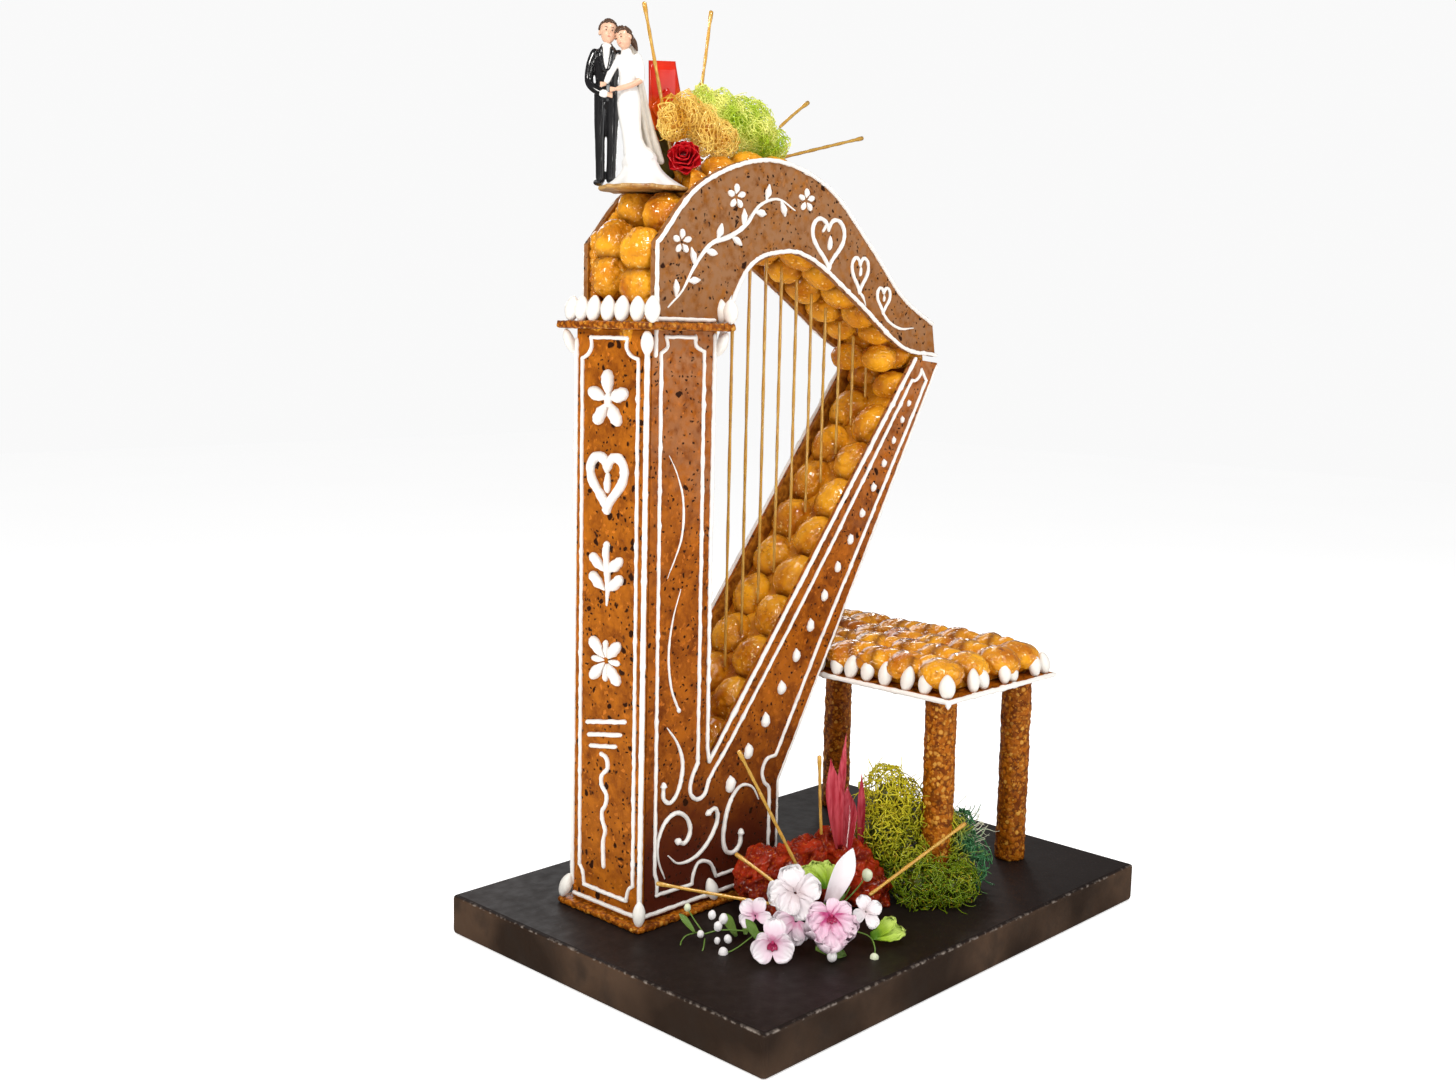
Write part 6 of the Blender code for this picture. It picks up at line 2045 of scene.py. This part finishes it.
def orchid(name, node_name, centre, facing, petals, finish, throat=0.0,
           seed=1):
    """Petals round a centre: angle from upright, reach, width, lift, frill."""
    centre = Vector(centre)
    facing = Vector(facing).normalized()
    upright = (Vector((0, 0, 1)) - facing * facing.z).normalized()
    sideways = upright.cross(facing)
    bm = bmesh.new()
    for i, (angle, reach, width, lift, frill) in enumerate(petals):
        angle = math.radians(angle)
        away = upright * math.cos(angle) + sideways * math.sin(angle)
        add_petal(bm, centre + away * reach * 0.05 + facing * 0.0004 * i,
                  centre + away * reach + facing * lift, facing, width, 0.14,
                  frill, seed * 10 + i, 0.30, 0.42, 0.0008, 0.10, 4.0)
    finish_piece(name + "_petals", bm, finish, "petal", node_name)
    if throat:
        bm = bmesh.new()
        turn = facing.to_track_quat("Z", "Y").to_matrix().to_4x4()
        for i in range(3):
            angle = math.radians(140 + 40 * i)
            away = upright * math.cos(angle) + sideways * math.sin(angle)
            add_petal(bm, centre + facing * 0.0020,
                      centre + away * throat + facing * 0.0048, facing,
                      throat * 0.62, 0.3, 0.10, i, 0.5, 0.6, 0.0006)
        bmesh.ops.create_icosphere(
            bm, subdivisions=2, radius=1.0,
            matrix=Matrix.Translation(centre + facing * 0.0036) @ turn
            @ Matrix.Diagonal((throat * 0.22, throat * 0.30, 0.0022, 1)))
        finish_piece(name + "_throat", bm, throat_paste, "petal", node_name)


orchid("orchid_front", "orchid_centre", (-0.1370, -0.1470, 0.0790),
       (-0.66, -0.66, 0.36),
       ((-75, 0.022, 0.020, 0.000, 0.16), (62, 0.021, 0.017, 0.002, 0.16),
        (8, 0.017, 0.013, 0.001, 0.10), (-122, 0.028, 0.029, 0.004, 0.34),
        (-176, 0.034, 0.034, 0.007, 0.36), (128, 0.028, 0.030, 0.004, 0.34)),
       orchid_pink, 0.0068, 1)
orchid("orchid_high", "orchid_upper", (-0.1330, -0.0990, 0.0870),
       (-0.66, -0.56, 0.50),
       ((-15, 0.027, 0.027, 0.001, 0.20), (70, 0.026, 0.027, 0.002, 0.20),
        (-95, 0.027, 0.028, 0.000, 0.20), (155, 0.028, 0.030, 0.004, 0.22),
        (-150, 0.025, 0.027, 0.006, 0.22)),
       white_paste, 0.0, 2)
orchid("orchid_under", "orchid_upper", (-0.1530, -0.1180, 0.0700),
       (-0.70, -0.62, 0.34),
       ((-100, 0.023, 0.024, 0.000, 0.16), (-165, 0.022, 0.025, 0.002, 0.16),
        (150, 0.019, 0.020, 0.002, 0.16)),
       orchid_paste, 0.0, 8)
orchid("orchid_low", "orchid_left", (-0.1880, -0.1210, 0.0600),
       (-0.74, -0.60, 0.30),
       ((5, 0.022, 0.021, -0.001, 0.10), (-82, 0.016, 0.015, 0.001, 0.10),
        (80, 0.016, 0.015, 0.001, 0.10), (-128, 0.021, 0.023, 0.006, 0.10),
        (122, 0.021, 0.023, 0.006, 0.10)),
       orchid_paste, 0.0072, 3)
orchid("orchid_between", "orchid_middle", (-0.1740, -0.0860, 0.0720),
       (-0.80, -0.45, 0.40),
       ((-50, 0.018, 0.016, 0.002, 0.14), (20, 0.017, 0.014, 0.004, 0.14),
        (-120, 0.016, 0.015, 0.001, 0.14), (95, 0.017, 0.012, 0.006, 0.14)),
       orchid_paste, 0.0, 5)
orchid("orchid_last", "orchid_right", (-0.0990, -0.1570, 0.0760),
       (-0.50, -0.74, 0.45),
       ((-10, 0.016, 0.015, 0.002, 0.16), (70, 0.016, 0.014, 0.004, 0.16),
        (150, 0.017, 0.014, 0.002, 0.16), (-110, 0.014, 0.013, 0.001, 0.16)),
       white_paste, 0.0, 4)
bm = bmesh.new()
add_petal(bm, (-0.1160, -0.1260, 0.0800), (-0.1030, -0.1430, 0.1330),
          (-0.72, -0.69, 0.1), 0.0200, 0.22, 0.02, 6, 0.5, 0.9, 0.0010, 0.10)
finish_piece("orchid_tall_petal", bm, white_paste, "petal", "orchid_petal")
bm = bmesh.new()
for base, tip, width in (
        ((-0.098, -0.103, 0.084), (-0.094, -0.086, 0.107), 0.020),
        ((-0.098, -0.103, 0.084), (-0.074, -0.090, 0.104), 0.018),
        ((-0.098, -0.103, 0.086), (-0.108, -0.080, 0.102), 0.016)):
    add_petal(bm, base, tip, (-0.66, -0.60, 0.5), width, 0.10, 0.24, 7, 0.35,
              0.4, 0.0008, 0.10, 5.0)
finish_piece("fresh_leaf_frilled", bm, fresh_leaf, "leaf_fresh",
             "frilled_leaf")
bm = bmesh.new()
for base, tip, width in (
        ((-0.094, -0.160, 0.052), (-0.064, -0.180, 0.056), 0.018),
        ((-0.090, -0.162, 0.052), (-0.072, -0.172, 0.068), 0.014)):
    add_petal(bm, base, tip, (-0.60, -0.60, 0.6), width, 0.14, 0.24, 9, 0.35,
              0.5, 0.0008, 0.10, 5.0)
finish_piece("fresh_leaf_low", bm, fresh_leaf, "leaf_fresh", "orchid_leaf")

# Stems, a looped tendril, buds and the dark leaves between the flowers.
stems = [
    [(-0.150, -0.110, 0.052), (-0.176, -0.092, 0.058), (-0.196, -0.066, 0.058),
     (-0.208, -0.050, 0.052)],
    [(-0.206, -0.052, 0.048), (-0.216, -0.058, 0.040), (-0.224, -0.050, 0.037),
     (-0.222, -0.036, 0.040), (-0.212, -0.032, 0.046), (-0.202, -0.040, 0.050)],
    [(-0.205, -0.050, 0.052), (-0.206, -0.038, 0.062), (-0.208, -0.030, 0.072)],
    [(-0.178, -0.092, 0.058), (-0.196, -0.084, 0.046), (-0.206, -0.076, 0.040)],
    [(-0.112, -0.150, 0.060), (-0.104, -0.166, 0.056), (-0.110, -0.178, 0.050),
     (-0.112, -0.179, 0.043)],
    [(-0.108, -0.120, 0.070), (-0.094, -0.122, 0.088), (-0.088, -0.124, 0.104)],
    [(-0.104, -0.126, 0.070), (-0.084, -0.132, 0.086), (-0.074, -0.136, 0.098)],
    [(-0.106, -0.124, 0.066), (-0.096, -0.130, 0.084), (-0.092, -0.132, 0.092)],
]
bm = tubes("stems", [[(p, 0.0007) for p in smooth_route(
    [Vector(p) for p in points], 0.002)] for points in stems], 2)
finish_piece("flower_stems", bm, stem_green, "leaf_fresh", "orchid_leaf")


def add_buds(bm, buds, tall):
    """Closed buds, each a place and a radius."""
    for place, size in buds:
        bmesh.ops.create_icosphere(bm, subdivisions=3, radius=size,
                                   matrix=Matrix.Translation(place)
                                   @ Matrix.Diagonal((1.0, 1.0, tall, 1)))


bm = bmesh.new()
add_buds(bm, (((-0.199, -0.062, 0.061), 0.0040), ((-0.194, -0.064, 0.068), 0.0042),
              ((-0.201, -0.056, 0.071), 0.0036), ((-0.210, -0.050, 0.053), 0.0032),
              ((-0.198, -0.074, 0.052), 0.0036), ((-0.206, -0.076, 0.041), 0.0048),
              ((-0.204, -0.066, 0.050), 0.0028), ((-0.150, -0.160, 0.048), 0.0046),
              ((-0.090, -0.126, 0.095), 0.0040)), 1.25)
roughen(bm, 0.006, 0.0006, 12)
finish_piece("flower_buds_white", bm, bud_white, "petal", "orchid_middle")
bm = bmesh.new()
add_buds(bm, (((-0.112, -0.179, 0.041), 0.0042), ((-0.088, -0.124, 0.106), 0.0046),
              ((-0.073, -0.137, 0.100), 0.0052), ((-0.208, -0.030, 0.073), 0.0034)),
         1.2)
roughen(bm, 0.005, 0.0005, 13)
finish_piece("flower_buds_green", bm, bud_paste, "leaf_fresh", "orchid_leaf")
bm = bmesh.new()
dark_leaves = [((-0.170, -0.070, 0.048), (-0.140, -0.046, 0.066), 0.012),
               ((-0.176, -0.064, 0.046), (-0.166, -0.036, 0.060), 0.010),
               ((-0.180, -0.098, 0.052), (-0.186, -0.086, 0.072), 0.009),
               ((-0.208, -0.040, 0.052), (-0.214, -0.026, 0.068), 0.006),
               ((-0.110, -0.124, 0.072), (-0.088, -0.116, 0.092), 0.016),
               ((-0.120, -0.110, 0.056), (-0.080, -0.110, 0.070), 0.016),
               ((-0.150, -0.140, 0.050), (-0.128, -0.160, 0.044), 0.012)]
for i, (base, tip, width) in enumerate(dark_leaves):
    add_petal(bm, base, tip, (-0.5, -0.5, 0.7), width, 0.16, 0.10, 20 + i, 0.3,
              0.9, 0.0008, 0.10, 3.0)
finish_piece("flower_leaves_dark", bm, stem_green, "leaf_fresh",
             "frilled_leaf")
bm = bmesh.new()
dice = random.Random(44)
for i in range(60):
    start = Vector((-0.020 + dice.uniform(-0.012, 0.012),
                    -0.020 + dice.uniform(-0.010, 0.010), floor_top))
    away = Vector((dice.uniform(-0.6, 0.6), dice.uniform(-0.6, 0.6), 1.2))
    tip = start + away.normalized() * dice.uniform(0.018, 0.044)
    add_petal(bm, start, tip, (-0.7, -0.6, 0.3), 0.0030, 0.2, 0.1, i, 0.4, 0.9,
              0.0005, 0.25, 1.0)
finish_piece("foliage_tuft", bm, stem_green, "leaf_fresh")
